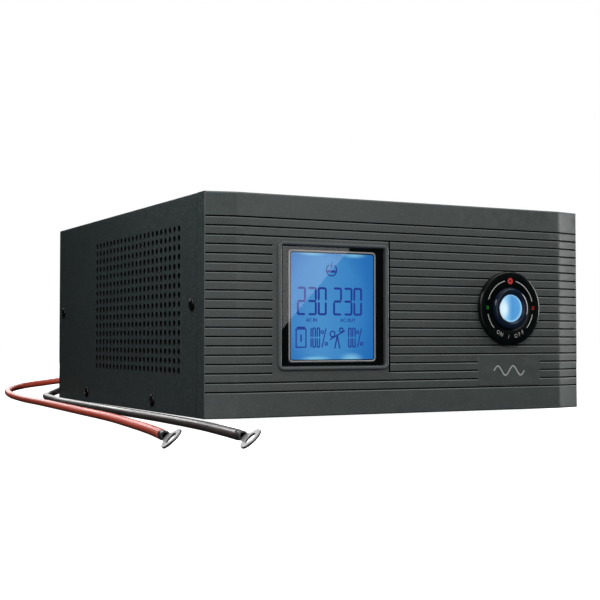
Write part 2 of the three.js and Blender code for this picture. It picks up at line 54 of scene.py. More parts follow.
PANEL_DEPTH = 16.3
CHAMFER_W = 19.85
CHAMFER_D = 4.6
GROOVE_COUNT = 20
GROOVE_TOP_Z = Z0 + 124.8
GROOVE_BOTTOM_Z = Z0 + 16.2
GROOVE_PITCH = (GROOVE_TOP_Z - GROOVE_BOTTOM_Z) / (GROOVE_COUNT - 1)
GROOVE_DEPTH = 1.7

DISPLAY = (-57.6, 72.9)
DISPLAY_W = 81.0
DISPLAY_H = 81.5
BUTTON = (80.2, 73.2)
BEZEL_R = 25.6
LENS_R = 9.4
BADGE = (55.2, 108.0, 20.0, 40.4)

VENT_COLUMNS = 22
VENT_ROWS = 16
VENT_PITCH_Y = 8.02
VENT_PITCH_Z = 6.09
VENT_FIRST_Y = FRONT_Y + 46.5
VENT_FIRST_Z = Z0 + 28.7
VENT_HOLE_R = 2.15

SIDE_SCREWS = [(24, 70.5), (303, 70.5), (93.5, 7.5), (239, 7.5)]
FAN = (82.0, 82.0)
OUTLETS = {"a": (5.0, 94.0), "b": (-60.0, 94.0)}
INLET = (-25.0, 34.0)
BREAKER = (20.0, 34.0)
GLANDS = {"red": (-78.0, 24.0), "black": (-104.0, 24.0)}

FOOT_X = 105.0
FOOT_Y = 95.0

LEAD_D = 5.5
LEAD_RED_ROUTE = [
    (-78, REAR_Y + 14.3, 24), (-78, REAR_Y + 20, 24), (-79.5, 193, 23.2), (-86, 214, 20.5),
    (-100, 231, 17), (-119, 240, 14.3), (-137, 241, 12.1), (-152, 236, 10.6),
    (-166.5, 223, 8.8), (-176.5, 204, 6.9), (-179.5, 182, 4.9), (-178.5, 150, 3.3),
    (-178.5, 92, 2.8), (-180, 60, 2.8), (-184.8, -32, 2.8), (-188.8, -107, 2.8),
    (-196, -166, 3), (-205, -220, 3.6), (-214.5, -260, 4.6), (-222, -286.6, 5.55),
]
LEAD_BLACK_ROUTE = [
    (-104, REAR_Y + 14.3, 24), (-104, REAR_Y + 20, 24), (-105.8, 182.9, 22.8), (-110.8, 190.5, 19.3),
    (-118.4, 195.5, 14.4), (-127.3, 197.3, 9.6), (-136.2, 195.5, 6.2), (-143.8, 190.5, 4.3),
    (-148.8, 182.9, 3.3), (-150.9, 174, 2.9), (-152.8, 158, 2.8), (-155.8, 133, 2.8),
    (-159.4, 103, 2.8), (-160.4, 57, 2.8), (-161.2, 7, 2.8), (-162.6, -72, 2.8),
    (-162.8, -130, 2.8), (-169, -206, 3.4), (-181, -264, 4.8), (-189.5, -304.6, 5.55),
]
RING_RED = ((-223.4, -302, 4.9), 7)
RING_BLACK = ((-190.5, -320, 4.9), 6)
RING_ROLL = 44
RING_R = 6.2
RING_HOLE_R = 3.25
BARREL_LENGTH = 15


# ---------------------------------------------------------------- camera
def make_camera():
    data = bpy.data.cameras.new("camera")
    data.lens = 71.75
    data.sensor_width = 36.0
    data.clip_start = 0.01
    camera = bpy.data.objects.new("camera", data)
    camera.location = (-0.4313, FRONT_Y * MM - 0.6703, 0.0517)
    camera.rotation_euler = (math.radians(91.89), 0.0, math.radians(-27.51))
    bpy.context.scene.collection.objects.link(camera)
    bpy.context.scene.camera = camera


# ---------------------------------------------------------------- materials
def linear(rgb):
    """Display colour 0-255 to the linear colour a shader takes."""
    out = []
    for value in rgb:
        c = value / 255
        out.append(c / 12.92 if c <= 0.04045 else ((c + 0.055) / 1.055) ** 2.4)
    return (*out, 1.0)


def new_material(name):
    material = bpy.data.materials.new(name)
    material.use_nodes = True
    return material, material.node_tree, material.node_tree.nodes["Principled BSDF"]


def fill(tree, node, sockets):
    """Set inputs by name or number: a socket is linked, anything else is a constant."""
    for key, value in sockets.items():
        if isinstance(value, bpy.types.NodeSocket):
            tree.links.new(value, node.inputs[key])
        else:
            node.inputs[key].default_value = value


def add_node(tree, kind, sockets, **settings):
    node = tree.nodes.new(kind)
    for key, value in settings.items():
        setattr(node, key, value)
    fill(tree, node, sockets)
    return node


def object_point(tree):
    return add_node(tree, "ShaderNodeTexCoord", {}).outputs["Object"]


def noise(tree, scale, detail=3.0, stretch=(1, 1, 1)):
    """Object-space noise: returns the factor socket."""
    mapping = add_node(tree, "ShaderNodeMapping", {"Vector": object_point(tree), "Scale": stretch})
    sockets = {"Vector": mapping.outputs["Vector"], "Scale": scale, "Detail": detail}
    return add_node(tree, "ShaderNodeTexNoise", sockets).outputs["Fac"]


def ramp(tree, factor, low, high, a, b):
    """Goes from low to high while the factor goes from a to b."""
    sockets = {"Value": factor, "From Min": a, "From Max": b, "To Min": low, "To Max": high}
    return add_node(tree, "ShaderNodeMapRange", sockets).outputs["Result"]


def mix_colours(tree, factor, first, second):
    """Inputs 6 and 7 and output 2 of this node are its colour sockets."""
    node = add_node(tree, "ShaderNodeMix", {0: factor, 6: first, 7: second}, data_type="RGBA")
    return node.outputs[2]


def add_relief(tree, shader, height, strength, depth):
    bump = add_node(tree, "ShaderNodeBump",
                    {"Strength": strength, "Distance": depth * MM, "Height": height})
    tree.links.new(bump.outputs["Normal"], shader.inputs["Normal"])


def edge_mask(tree, radius):
    """Near 1 along sharp edges."""
    bevel = add_node(tree, "ShaderNodeBevel", {"Radius": radius * MM}, samples=4)
    geometry = add_node(tree, "ShaderNodeNewGeometry", {})
    normals = {0: bevel.outputs["Normal"], 1: geometry.outputs["Normal"]}
    dot = add_node(tree, "ShaderNodeVectorMath", normals, operation="DOT_PRODUCT")
    return ramp(tree, dot.outputs["Value"], 1.0, 0.0, 0.8, 0.99)


def surface(name, rgb, rough, metal=0.0, grain=900, bump=0.25, depth=0.05, mottle=0.12,
            rough_swing=0.08, speck=None, stretch=(1, 1, 1), specular=0.5, edge=None):
    """A physical surface: mottled colour, uneven roughness and a fine relief."""
    material, tree, shader = new_material(name)
    base = linear(rgb)
    dark = tuple(c * (1 - mottle) for c in base[:3]) + (1.0,)
    light = tuple(min(1, c * (1 + mottle)) for c in base[:3]) + (1.0,)
    broad = noise(tree, 28, 4, stretch)
    colour = mix_colours(tree, ramp(tree, broad, 0, 1, 0.3, 0.7), dark, light)
    fine = noise(tree, grain, 2.5, stretch)
    if speck:
        colour = mix_colours(tree, ramp(tree, fine, 0, 1, 0.52, 0.72), colour, linear(speck))
    if edge:
        colour = mix_colours(tree, edge_mask(tree, 0.5), colour, linear(edge))
    middle = noise(tree, grain * 0.12, 3, stretch)
    fill(tree, shader, {
        "Base Color": colour,
        "Roughness": ramp(tree, middle, rough - rough_swing, rough + rough_swing, 0.3, 0.7),
        "Metallic": metal,
        "Specular IOR Level": specular,
    })
    add_relief(tree, shader, fine, bump, depth)
    return material


def glowing(name, stops, start, end, rough):
    """A lit surface whose colour runs along X, from start to end in millimetres."""
    material, tree, shader = new_material(name)
    split = add_node(tree, "ShaderNodeSeparateXYZ", {"Vector": object_point(tree)})
    place = ramp(tree, split.outputs["X"], 0, 1, start * MM, end * MM)
    table = add_node(tree, "ShaderNodeValToRGB", {"Fac": place})
    elements = table.color_ramp.elements
    while len(elements) < len(stops):
        elements.new(0.5)
    for element, (position, rgb) in zip(elements, stops):
        element.position = position
        element.color = linear(rgb)
    fill(tree, shader, {"Base Color": (0.01, 0.02, 0.04, 1), "Roughness": rough,
                        "Specular IOR Level": 0.1, "Emission Strength": 1.0})
    return material, tree, shader, table.outputs["Color"]


def spot(tree, centre, size):
    """1 at a point of the object, falling to 0 at size (millimetres in x, y and z)."""
    scale = [1 / (s * MM) for s in size]
    offset = [-c * MM * s for c, s in zip(centre, scale)]
    mapping = add_node(tree, "ShaderNodeMapping",
                       {"Vector": object_point(tree), "Scale": scale, "Location": offset})
    length = add_node(tree, "ShaderNodeVectorMath", {0: mapping.outputs["Vector"]}, operation="LENGTH")
    falloff = add_node(tree, "ShaderNodeMapRange",
                       {"Value": length.outputs["Value"], "To Min": 1.0, "To Max": 0.0},
                       interpolation_type="SMOOTHERSTEP")
    return falloff.outputs["Result"]


def lcd_material():
    stops = [(0.0, (62, 134, 200)), (0.35, (74, 146, 207)), (0.7, (56, 134, 200)), (1.0, (36, 114, 188))]
    material, tree, shader, colour = glowing("lcd_backlight", stops, -88, -27, 0.4)
    falloff = ramp(tree, spot(tree, (-62, FRONT_Y, 72), (52, 60, 58)), 0.85, 0, 0, 0.42)
    colour = mix_colours(tree, falloff, colour, linear((24, 106, 182)))
    lamps = [((-73, 107.2), (15, 3.2)), ((-42, 106.6), (13, 3.2)),
             ((-70, 39.2), (15, 2.8)), ((-44, 39.2), (12, 5.5))]
    for (x, z), (w, h) in lamps:
        glow = ramp(tree, spot(tree, (x, FRONT_Y + 1.6, z), (w, 40, h)), 0, 0.7, 0, 1)
        colour = mix_colours(tree, glow, colour, linear((140, 212, 243)))
    tree.links.new(colour, shader.inputs["Emission Color"])
    return material


def ink_material():
    """Figures of the display: dark blue, with a little of the lamp showing through."""
    material = surface("lcd_ink", (24, 32, 110), 0.5, grain=700, bump=0.05, specular=0.1)
    glow = {"Emission Color": linear((34, 58, 138)), "Emission Strength": 0.8}
    fill(material.node_tree, material.node_tree.nodes["Principled BSDF"], glow)
    return material


def lens_material():
    x, z = BUTTON
    # The pale left end of this run is a painted highlight over the lens's blue glow.
    stops = [(0.0, (200, 235, 250)), (0.3, (130, 192, 232)), (0.5, (76, 148, 208)), (1.0, (86, 158, 216))]
    material, tree, shader, colour = glowing("lens_glow", stops, x - LENS_R, x + LENS_R, 0.35)
    # Painted highlight: a white patch on the left of the lens.
    lamp = ramp(tree, spot(tree, (x - 6.2, FRONT_Y - 5, z - 0.5), (5.0, 60, 9.0)), 0, 0.9, 0, 1)
    colour = mix_colours(tree, lamp, colour, linear((224, 246, 254)))
    # Painted highlight: a lighter rim round the lens.
    rim = ramp(tree, spot(tree, (x - 1.2, FRONT_Y - 5, z + 0.3), (11.6, 60, 11.6)), 0.9, 0, 0.0, 0.16)
    colour = mix_colours(tree, rim, colour, linear((170, 218, 246)))
    tree.links.new(colour, shader.inputs["Emission Color"])
    return material


def glass_material():
    """Clear sheet that mirrors 4 % face on and all of it edge on."""
    material, tree, shader = new_material("cover_glass")
    clear = add_node(tree, "ShaderNodeBsdfTransparent", {"Color": (0.97, 0.98, 0.98, 1)})
    smear = ramp(tree, noise(tree, 35, 3), 0.006, 0.014, 0.3, 0.8)
    gloss = add_node(tree, "ShaderNodeBsdfGlossy", {"Roughness": smear})
    facing = add_node(tree, "ShaderNodeLayerWeight", {"Blend": 0.5})
    power = add_node(tree, "ShaderNodeMath", {0: facing.outputs["Facing"], 1: 5.0}, operation="POWER")
    reflect = add_node(tree, "ShaderNodeMath", {0: power.outputs["Value"], 1: 0.96, 2: 0.04},
                       operation="MULTIPLY_ADD")
    blend = add_node(tree, "ShaderNodeMixShader",
                     {0: reflect.outputs["Value"], 1: clear.outputs["BSDF"], 2: gloss.outputs["BSDF"]})
    tree.nodes.remove(shader)
    fill(tree, tree.nodes["Material Output"], {"Surface": blend.outputs["Shader"]})
    return material


def laminated(name, rgb, pitch, axis):
    """Stacked sheets or turns of wire: fine lines along one axis."""
    material = surface(name, rgb, 0.5, 0.7, grain=700, mottle=0.2)
    tree = material.node_tree
    wave = add_node(tree, "ShaderNodeTexWave",
                    {"Scale": 1 / (pitch * MM) / math.pi, "Vector": object_point(tree)},
                    bands_direction=axis)
    add_relief(tree, tree.nodes["Principled BSDF"], wave.outputs["Fac"], 0.8, 0.2)
    return material


def make_materials():
    return {
        "steel": surface("cover_paint", (38, 46, 46), 0.6, grain=1000, bump=0.5, depth=0.12, mottle=0.06,
                         rough_swing=0.03, speck=(62, 71, 70), specular=0.35, stretch=(1, 0.5, 1)),
        "panel": surface("panel_plastic", (64, 71, 70), 0.4, grain=1500, bump=0.35, depth=0.06,
                         mottle=0.06, speck=(78, 85, 84), edge=(92, 98, 98)),
        # Painted highlight: the upward lower lip of each groove, lighter as if lit from above.
        "lip_highlight": surface("lip_highlight", (98, 105, 104), 0.38, grain=1800, bump=0.2, depth=0.04,
                             mottle=0.05),
        # Painted shade: near-black walls and floor of the grooves.
        "groove_shade": surface("groove_painted_shade", (12, 17, 17), 0.6, grain=1800, bump=0.3, specular=0.1),
        # Painted shade: near-black colour for the sheet's edge faces, in the holes and along its borders.
        "sheet_edge_shade": surface("sheet_edge_painted_shade", (8, 11, 11), 0.6, grain=1500, bump=0.3, specular=0.15),
        "bezel": surface("bezel_plastic", (74, 79, 79), 0.42, grain=2200, depth=0.04, mottle=0.05),
        "black": surface("black_gloss", (4, 9, 9), 0.2, grain=500, bump=0.05, mottle=0.3,
                         rough_swing=0.04, specular=0.3),
        "mask": surface("mask_print", (4, 8, 8), 0.7, grain=800, bump=0.02, depth=0.01, mottle=0.3,
                        specular=0.02),
        "navy": surface("navy_gloss", (20, 31, 48), 0.14, grain=500, bump=0.05, mottle=0.2,
                        rough_swing=0.04, specular=0.25),
        "silver": surface("satin_silver", (176, 170, 171), 0.4, 0.3, grain=300, bump=0.03, mottle=0.05),
        "lcd": lcd_material(),
        "ink": ink_material(),
        "lens": lens_material(),
        "glass": glass_material(),
        "print_grey": surface("print_grey", (176, 178, 176), 0.5, bump=0.2, mottle=0.1),
        "print_red": surface("print_red", (205, 24, 24), 0.45, bump=0.2, mottle=0.1),
        "print_green": surface("print_green", (38, 160, 52), 0.45, bump=0.2, mottle=0.1),
        # Painted shade: near-black sheet colour standing in for the dark inside of the case.
        "filter": surface("filter_mat", (5, 6, 6), 0.9, grain=1100, bump=0.8, depth=0.3, mottle=0.3,
                          specular=0.05),
        "rubber": surface("foot_rubber", (20, 20, 20), 0.85, grain=1300, bump=0.5, depth=0.1),
        "zinc": surface("zinc_plate", (150, 152, 150), 0.33, 0.9, grain=700, bump=0.2, mottle=0.15),
        "black_zinc": surface("black_zinc", (16, 18, 19), 0.28, 0.6, grain=700, bump=0.2, mottle=0.3),
        "plastic": surface("black_plastic", (22, 24, 25), 0.5, grain=1700, bump=0.4, depth=0.06),
        "red_cable": surface("red_sheath", (186, 68, 46), 0.42, grain=420, bump=0.05, mottle=0.05,
                             specular=0.7, stretch=(1, 0.25, 1)),
        "black_cable": surface("black_sheath", (50, 45, 45), 0.4, grain=420, bump=0.05, mottle=0.06,
                               specular=0.9, stretch=(1, 0.25, 1)),
        "tin": surface("tin_plate", (158, 159, 158), 0.42, 0.5, grain=600, bump=0.1, mottle=0.06),
        "crimp": surface("crimp_barrel", (74, 76, 76), 0.4, 0.6, grain=600, bump=0.2, mottle=0.15),
        "brass": surface("contact_brass", (190, 150, 80), 0.3, 1.0, grain=700, bump=0.15),
        "board": surface("solder_mask", (24, 84, 50), 0.35, grain=300, bump=0.3, mottle=0.25),
        "alu": surface("heat_sink_alu", (168, 171, 173), 0.38, 0.9, bump=0.3, stretch=(1, 0.05, 1)),
        "core": laminated("core_laminations", (84, 86, 88), 0.5, "Y"),
        "winding": laminated("enamelled_wire", (168, 92, 40), 0.9, "Z"),
        "sleeve": surface("capacitor_sleeve", (28, 58, 118), 0.3, grain=600, bump=0.1, mottle=0.1),
    }


# ---------------------------------------------------------------- mesh tools
class Shape:
    """Collects vertices, in millimetres, and faces of one piece."""

    def __init__(self):
        self.verts = []
        self.faces = []
        self.slots = []

    def add(self, verts, faces, slot=0):
        base = len(self.verts)
        self.verts.extend(verts)
        for face in faces:
            self.faces.append([base + i for i in face])
            self.slots.append(slot)

    def loft(self, loops, slot=0, cap=True, ring=False):
        """Skin loops of equal length; ring joins the last loop to the first."""
        n = len(loops[0])
        verts = [p for loop in loops for p in loop]
        faces = []
        spans = len(loops) if ring else len(loops) - 1
        for i in range(spans):
            a, b = i * n, ((i + 1) % len(loops)) * n
            for j in range(n):
                k = (j + 1) % n
                faces.append([a + j, a + k, b + k, b + j])
        if cap and not ring:
            faces.append(list(range(n))[::-1])
            faces.append([(len(loops) - 1) * n + j for j in range(n)])
        self.add(verts, faces, slot)

    def prism(self, outline, y0, y1, slot=0):
        """An (x, z) outline drawn out from y0 to y1."""
        self.loft([[(x, y, z) for x, z in outline] for y in (y0, y1)], slot)

    def box(self, x0, x1, y0, y1, z0, z1, slot=0):
        self.prism([(x0, z0), (x1, z0), (x1, z1), (x0, z1)], y0, y1, slot)

    def move(self, matrix, start=0):
        for i in range(start, len(self.verts)):
            self.verts[i] = tuple(matrix @ Vector(self.verts[i]))

    def build(self, name, materials, sharp=35, bevel=0.0):
        mesh = bpy.data.meshes.new(name)
        mesh.from_pydata([(x * MM, y * MM, z * MM) for x, y, z in self.verts], [], self.faces)
        for material in materials:
            mesh.materials.append(material)
        for polygon, slot in zip(mesh.polygons, self.slots):
            polygon.material_index = slot
        bm = bmesh.new()
        bm.from_mesh(mesh)
        bmesh.ops.remove_doubles(bm, verts=bm.verts, dist=1e-6)
        bmesh.ops.recalc_face_normals(bm, faces=bm.faces)
        bm.to_mesh(mesh)
        bm.free()
        shade(mesh, sharp)
        piece = bpy.data.objects.new(name, mesh)
        bpy.context.scene.collection.objects.link(piece)
        if bevel:
            add_bevel(piece, bevel)
        return piece


def shade(mesh, sharp):
    bm = bmesh.new()
    bm.from_mesh(mesh)
    limit = math.radians(sharp)
    for face in bm.faces:
        face.smooth = True
    for edge in bm.edges:
        flat = len(edge.link_faces) == 2 and edge.calc_face_angle() <= limit
        edge.smooth = flat
    bm.to_mesh(mesh)
    bm.free()


def add_bevel(piece, width):
    modifier = piece.modifiers.new("edges", "BEVEL")
    modifier.width = width * MM
    modifier.segments = 2
    modifier.limit_method = "ANGLE"
    modifier.angle_limit = math.radians(40)


def settle(piece):
    """Replaces a piece's mesh by what its modifiers make of it."""
    graph = bpy.context.evaluated_depsgraph_get()
    mesh = bpy.data.meshes.new_from_object(piece.evaluated_get(graph))
    piece.modifiers.clear()
    piece.data = mesh
    return mesh


def cut(piece, cutters):
    """Takes each cutter shape out of the piece."""
    for cutter in cutters:
        modifier = piece.modifiers.new("cut", "BOOLEAN")
        modifier.object = cutter
        modifier.operation = "DIFFERENCE"
        modifier.solver = "EXACT"
        settle(piece)
        bpy.data.objects.remove(cutter, do_unlink=True)


def own(piece, body="case", *, replaces=()):
    """Fixes a piece to its body and hides the CAD nodes it stands for."""
    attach(piece, body)
    if replaces:
        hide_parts(*replaces)
    return piece


def circle(x, z, r, sides, start=0.0):
    return [(x + r * math.cos(start + 2 * math.pi * i / sides),
             z + r * math.sin(start + 2 * math.pi * i / sides)) for i in range(sides)]


def hoops(x, z, profile, sides):
    """Circles about a line along Y, one for each (radius, y) of the profile."""
    return [[(px, y, pz) for px, pz in circle(x, z, max(r, 0.01), sides)] for r, y in profile]


def rounded(x, z, w, h, r, steps=6):
    """Outline of a rectangle with rounded corners about (x, z)."""
    points = []
    for sx, sz, start in ((1, 1, 0), (-1, 1, 90), (-1, -1, 180), (1, -1, 270)):
        for i in range(steps + 1):
            a = math.radians(start + 90 * i / steps)
            points.append((x + sx * (w / 2 - r) + r * math.cos(a), z + sz * (h / 2 - r) + r * math.sin(a)))
    return points


def turned(name, profile, centre, materials, segments=96, sharp=35, ring=False):
    """Lathe a (radius, y) profile about the line along Y through centre."""
    shape = Shape()
    shape.loft(hoops(*centre, profile, segments), cap=not ring, ring=ring)
    return shape.build(name, materials, sharp)


def frame_ring(shape, centre, w, h, r, profile, slot=0):
    """Sweep (inset, y) pairs round a rounded rectangle, as a closed ring."""
    loops = []
    for inset, y in profile:
        outline = rounded(*centre, w - 2 * inset, h - 2 * inset, max(r - inset, 0.25), 8)
        loops.append([(x, y, z) for x, z in outline])
    shape.loft(loops, slot, ring=True)


def tube(shape, points, radius, sides=12, slot=0, closed=False):
    """A round rod along points given in millimetres."""
    path = [Vector(p) for p in points]
    loops = []
    normal = None
    for i, point in enumerate(path):
        if closed:
            tangent = (path[(i + 1) % len(path)] - path[i - 1]).normalized()
        else:
            tangent = (path[min(i + 1, len(path) - 1)] - path[max(i - 1, 0)]).normalized()
        if normal is None:
            helper = Vector((0, 0, 1)) if abs(tangent.z) < 0.9 else Vector((1, 0, 0))
            normal = tangent.cross(helper).normalized()
        normal = (normal - tangent * normal.dot(tangent)).normalized()
        side = tangent.cross(normal)
        loops.append([tuple(point + radius * (math.cos(a) * normal + math.sin(a) * side))
                      for a in (2 * math.pi * k / sides for k in range(sides))])
    shape.loft(loops, slot, ring=closed)


def letters(text, size, bold=0.0):
    """Vertices in the XZ plane (millimetres) and faces of a line of text, centred."""
    data = bpy.data.curves.new("letters", "FONT")
    data.body = text
    data.size = size * MM
    data.align_x = "CENTER"
    data.align_y = "CENTER"
    data.resolution_u = 3
    data.offset = bold * MM
    helper = bpy.data.objects.new("letters", data)
    bpy.context.scene.collection.objects.link(helper)
    graph = bpy.context.evaluated_depsgraph_get()
    mesh = bpy.data.meshes.new_from_object(helper.evaluated_get(graph))
    verts = [(v.co.x / MM, 0.0, v.co.y / MM) for v in mesh.vertices]
    faces = [list(p.vertices) for p in mesh.polygons]
    bpy.data.objects.remove(helper, do_unlink=True)
    bpy.data.meshes.remove(mesh)
    return verts, faces


def write(shape, text, size, place, turn=0.0, slot=0, width=1.0, bold=0.0):
    """Text facing -Y at (x, y, z), turned anticlockwise by degrees."""
    verts, faces = letters(text, size, bold)
    turning = Matrix.Translation(place) @ Matrix.Rotation(math.radians(-turn), 4, "Y")
    shape.add([tuple(turning @ Vector((x * width, y, z))) for x, y, z in verts], faces, slot)


# ---------------------------------------------------------------- leads
def between(first, last, start, end, t):
    """The point at time t on the way from first, at start, to last, at end."""
    return first * ((end - t) / (end - start)) + last * ((t - start) / (end - start))


def smooth_route(route, per_span=7):
    """Centripetal curve through the route's points, as the CAD lead follows."""
    pts = [Vector(p) for p in route]
    pts = [pts[0] * 2 - pts[1], *pts, pts[-1] * 2 - pts[-2]]
    out = []
    for i in range(1, len(pts) - 2):
        p0, p1, p2, p3 = pts[i - 1:i + 3]
        t0 = 0.0
        t1 = t0 + math.sqrt((p1 - p0).length)
        t2 = t1 + math.sqrt((p2 - p1).length)
        t3 = t2 + math.sqrt((p3 - p2).length)
        for k in range(per_span):
            t = t1 + (t2 - t1) * k / per_span
            a1 = between(p0, p1, t0, t1, t)
            a2 = between(p1, p2, t1, t2, t)
            a3 = between(p2, p3, t2, t3, t)
            b1 = between(a1, a2, t0, t2, t)
            b2 = between(a2, a3, t1, t3, t)
            out.append(between(b1, b2, t1, t2, t))
    out.append(pts[-2])
    return out


def make_lead(colour, route, material):
    points = smooth_route(route)
    data = bpy.data.curves.new(f"battery_lead_{colour}", "CURVE")
    data.dimensions = "3D"
    data.bevel_depth = LEAD_D / 2 * MM
    data.bevel_resolution = 5
    data.use_fill_caps = True
    spline = data.splines.new("POLY")
    spline.points.add(len(points) - 1)
    for target, point in zip(spline.points, points):
        target.co = (*(point * MM), 1.0)
    data.materials.append(material)
    piece = bpy.data.objects.new(f"battery_lead_{colour}", data)
    bpy.context.scene.collection.objects.link(piece)
    own(piece, replaces=[f"lead_{colour}"])
    return piece


def ring_terminal(colour, place, yaw, materials):
    """Crimped ring: flat eye, neck and barrel, local X from the lead to the eye."""
    shape = Shape()
    edge = [(RING_HOLE_R, -0.4), (RING_HOLE_R + 0.2, -0.6), (RING_R - 0.2, -0.6), (RING_R, -0.4),
            (RING_R, 0.4), (RING_R - 0.2, 0.6), (RING_HOLE_R + 0.2, 0.6), (RING_HOLE_R, 0.4)]
    sides = 48
    shape.loft([[(x, y, h) for x, y in circle(0, 0, r, sides)] for r, h in edge], ring=True)
    for span in (2, 3, 7):  # the rim and bore are darker than the plated faces
        shape.slots[span * sides:(span + 1) * sides] = [1] * sides
    neck = [(-10.6, 1.9), (-8.2, 2.3), (-5.2, 3.2), (-5.2, -3.2), (-8.2, -2.3), (-10.6, -1.9)]
    shape.loft([[(x, y, h) for x, y in neck] for h in (-0.58, 0.58)])
    barrel = [(2.0, 0.0), (2.5, 0.25), (2.5, 1.6), (2.3, 2.2), (2.3, 3.6), (2.5, 4.2), (2.5, 6.0),
              (2.3, 6.2), (1.6, 6.2), (1.5, 6.0), (1.5, 3.4), (0.02, 3.2)]
    loops = [[(-BARREL_LENGTH + h, y, 0.9 + z) for y, z in circle(0, 0, r, 32)] for r, h in barrel]
    shape.loft(loops[:9], slot=1, cap=False)
    # Painted shade: the end face and inside of the barrel take the near-black mask.
    shape.loft(loops[8:], slot=2, cap=False)
    turning = (Matrix.Translation(place) @ Matrix.Rotation(math.radians(-90 - yaw), 4, "Z")
               @ Matrix.Rotation(math.radians(RING_ROLL), 4, "X"))
    shape.move(turning)
    looks = [materials[key] for key in ("tin", "crimp", "mask")]
    piece = shape.build(f"eye_terminal_{colour}", looks, sharp=40)
    return own(piece, replaces=[f"ring_terminal_{colour}"])


# ---------------------------------------------------------------- front panel
# groove profile: height from its centre and depth, from the upper edge down to the rounded lower lip
LIP = [(0.56, 0.0), (0.49, 0.08), (0.46, GROOVE_DEPTH), (-0.44, GROOVE_DEPTH), (-0.48, 0.4),
       (-0.68, 0.15), (-0.98, 0.0)]


def groove_centres():
    return [GROOVE_TOP_Z - i * GROOVE_PITCH for i in range(GROOVE_COUNT)]


def lip_depth(offset):
    for (high, d_high), (low, d_low) in zip(LIP, LIP[1:]):
        if low <= offset <= high:
            return d_low + (d_high - d_low) * (offset - low) / (high - low)
    return 0.0


def panel_columns():
    """(x, y, inward x, inward y, zone) from the left rear edge round to the right one."""
    nx, ny = CHAMFER_D, CHAMFER_W
    scale = 1 / math.hypot(nx, ny)
    nx, ny = nx * scale, ny * scale
    facet = HALF_W - CHAMFER_W
    corner_y = FRONT_Y + CHAMFER_D
    slope = CHAMFER_D / CHAMFER_W
    left = [
        (-HALF_W, FRONT_Y + PANEL_DEPTH, 0, 0), (-HALF_W, corner_y + 2, 0, 0),
        (-HALF_W, corner_y + 0.35, 0, 0), (-HALF_W + 0.1, corner_y + 0.05, 0, 0),
        (-HALF_W + 0.4, corner_y - 0.1, 0, 0),
        (-HALF_W + 0.45, corner_y - 0.45 * slope, nx, ny), (-facet - 1.6, FRONT_Y + 1.6 * slope, nx, ny),
        (-facet - 0.5, FRONT_Y + 0.16, nx * 0.6, 0.98), (-facet + 0.5, FRONT_Y + 0.03, nx * 0.3, 0.99),
        (-facet + 1.4, FRONT_Y, 0, 1),
    ]
    columns = [(*c, "plain") for c in left]
    flats = [(-101.95, "plain"), (-101.6, "display"), (-75, "display"), (-40, "display"),
             (-16.5, "display"), (-16.35, "upright"), (-15.45, "upright"), (-15.3, "plain"),
             (15, "plain"), (BADGE[0] - 0.5, "plain"), (BADGE[0] - 0.2, "badge"), (80, "badge"),
             (BADGE[1] + 0.2, "badge"), (BADGE[1] + 0.5, "plain")]
    columns += [(x, FRONT_Y, 0, 1, zone) for x, zone in flats]
    columns += [(-x, y, -ax, ay, "plain") for x, y, ax, ay in reversed(left)]
    return columns


def panel_depth(z, zone, centres):
    low, high = centres[17], centres[2]
    if zone == "upright" and low <= z <= high:
        return GROOVE_DEPTH
    for i, centre in enumerate(centres):
        if zone in ("display", "upright") and 3 <= i <= 17:
            continue
        if zone == "badge" and 16 <= i <= 18:
            continue
        depth = lip_depth(z - centre)
        if depth > 0:
            return depth
    return 0.0


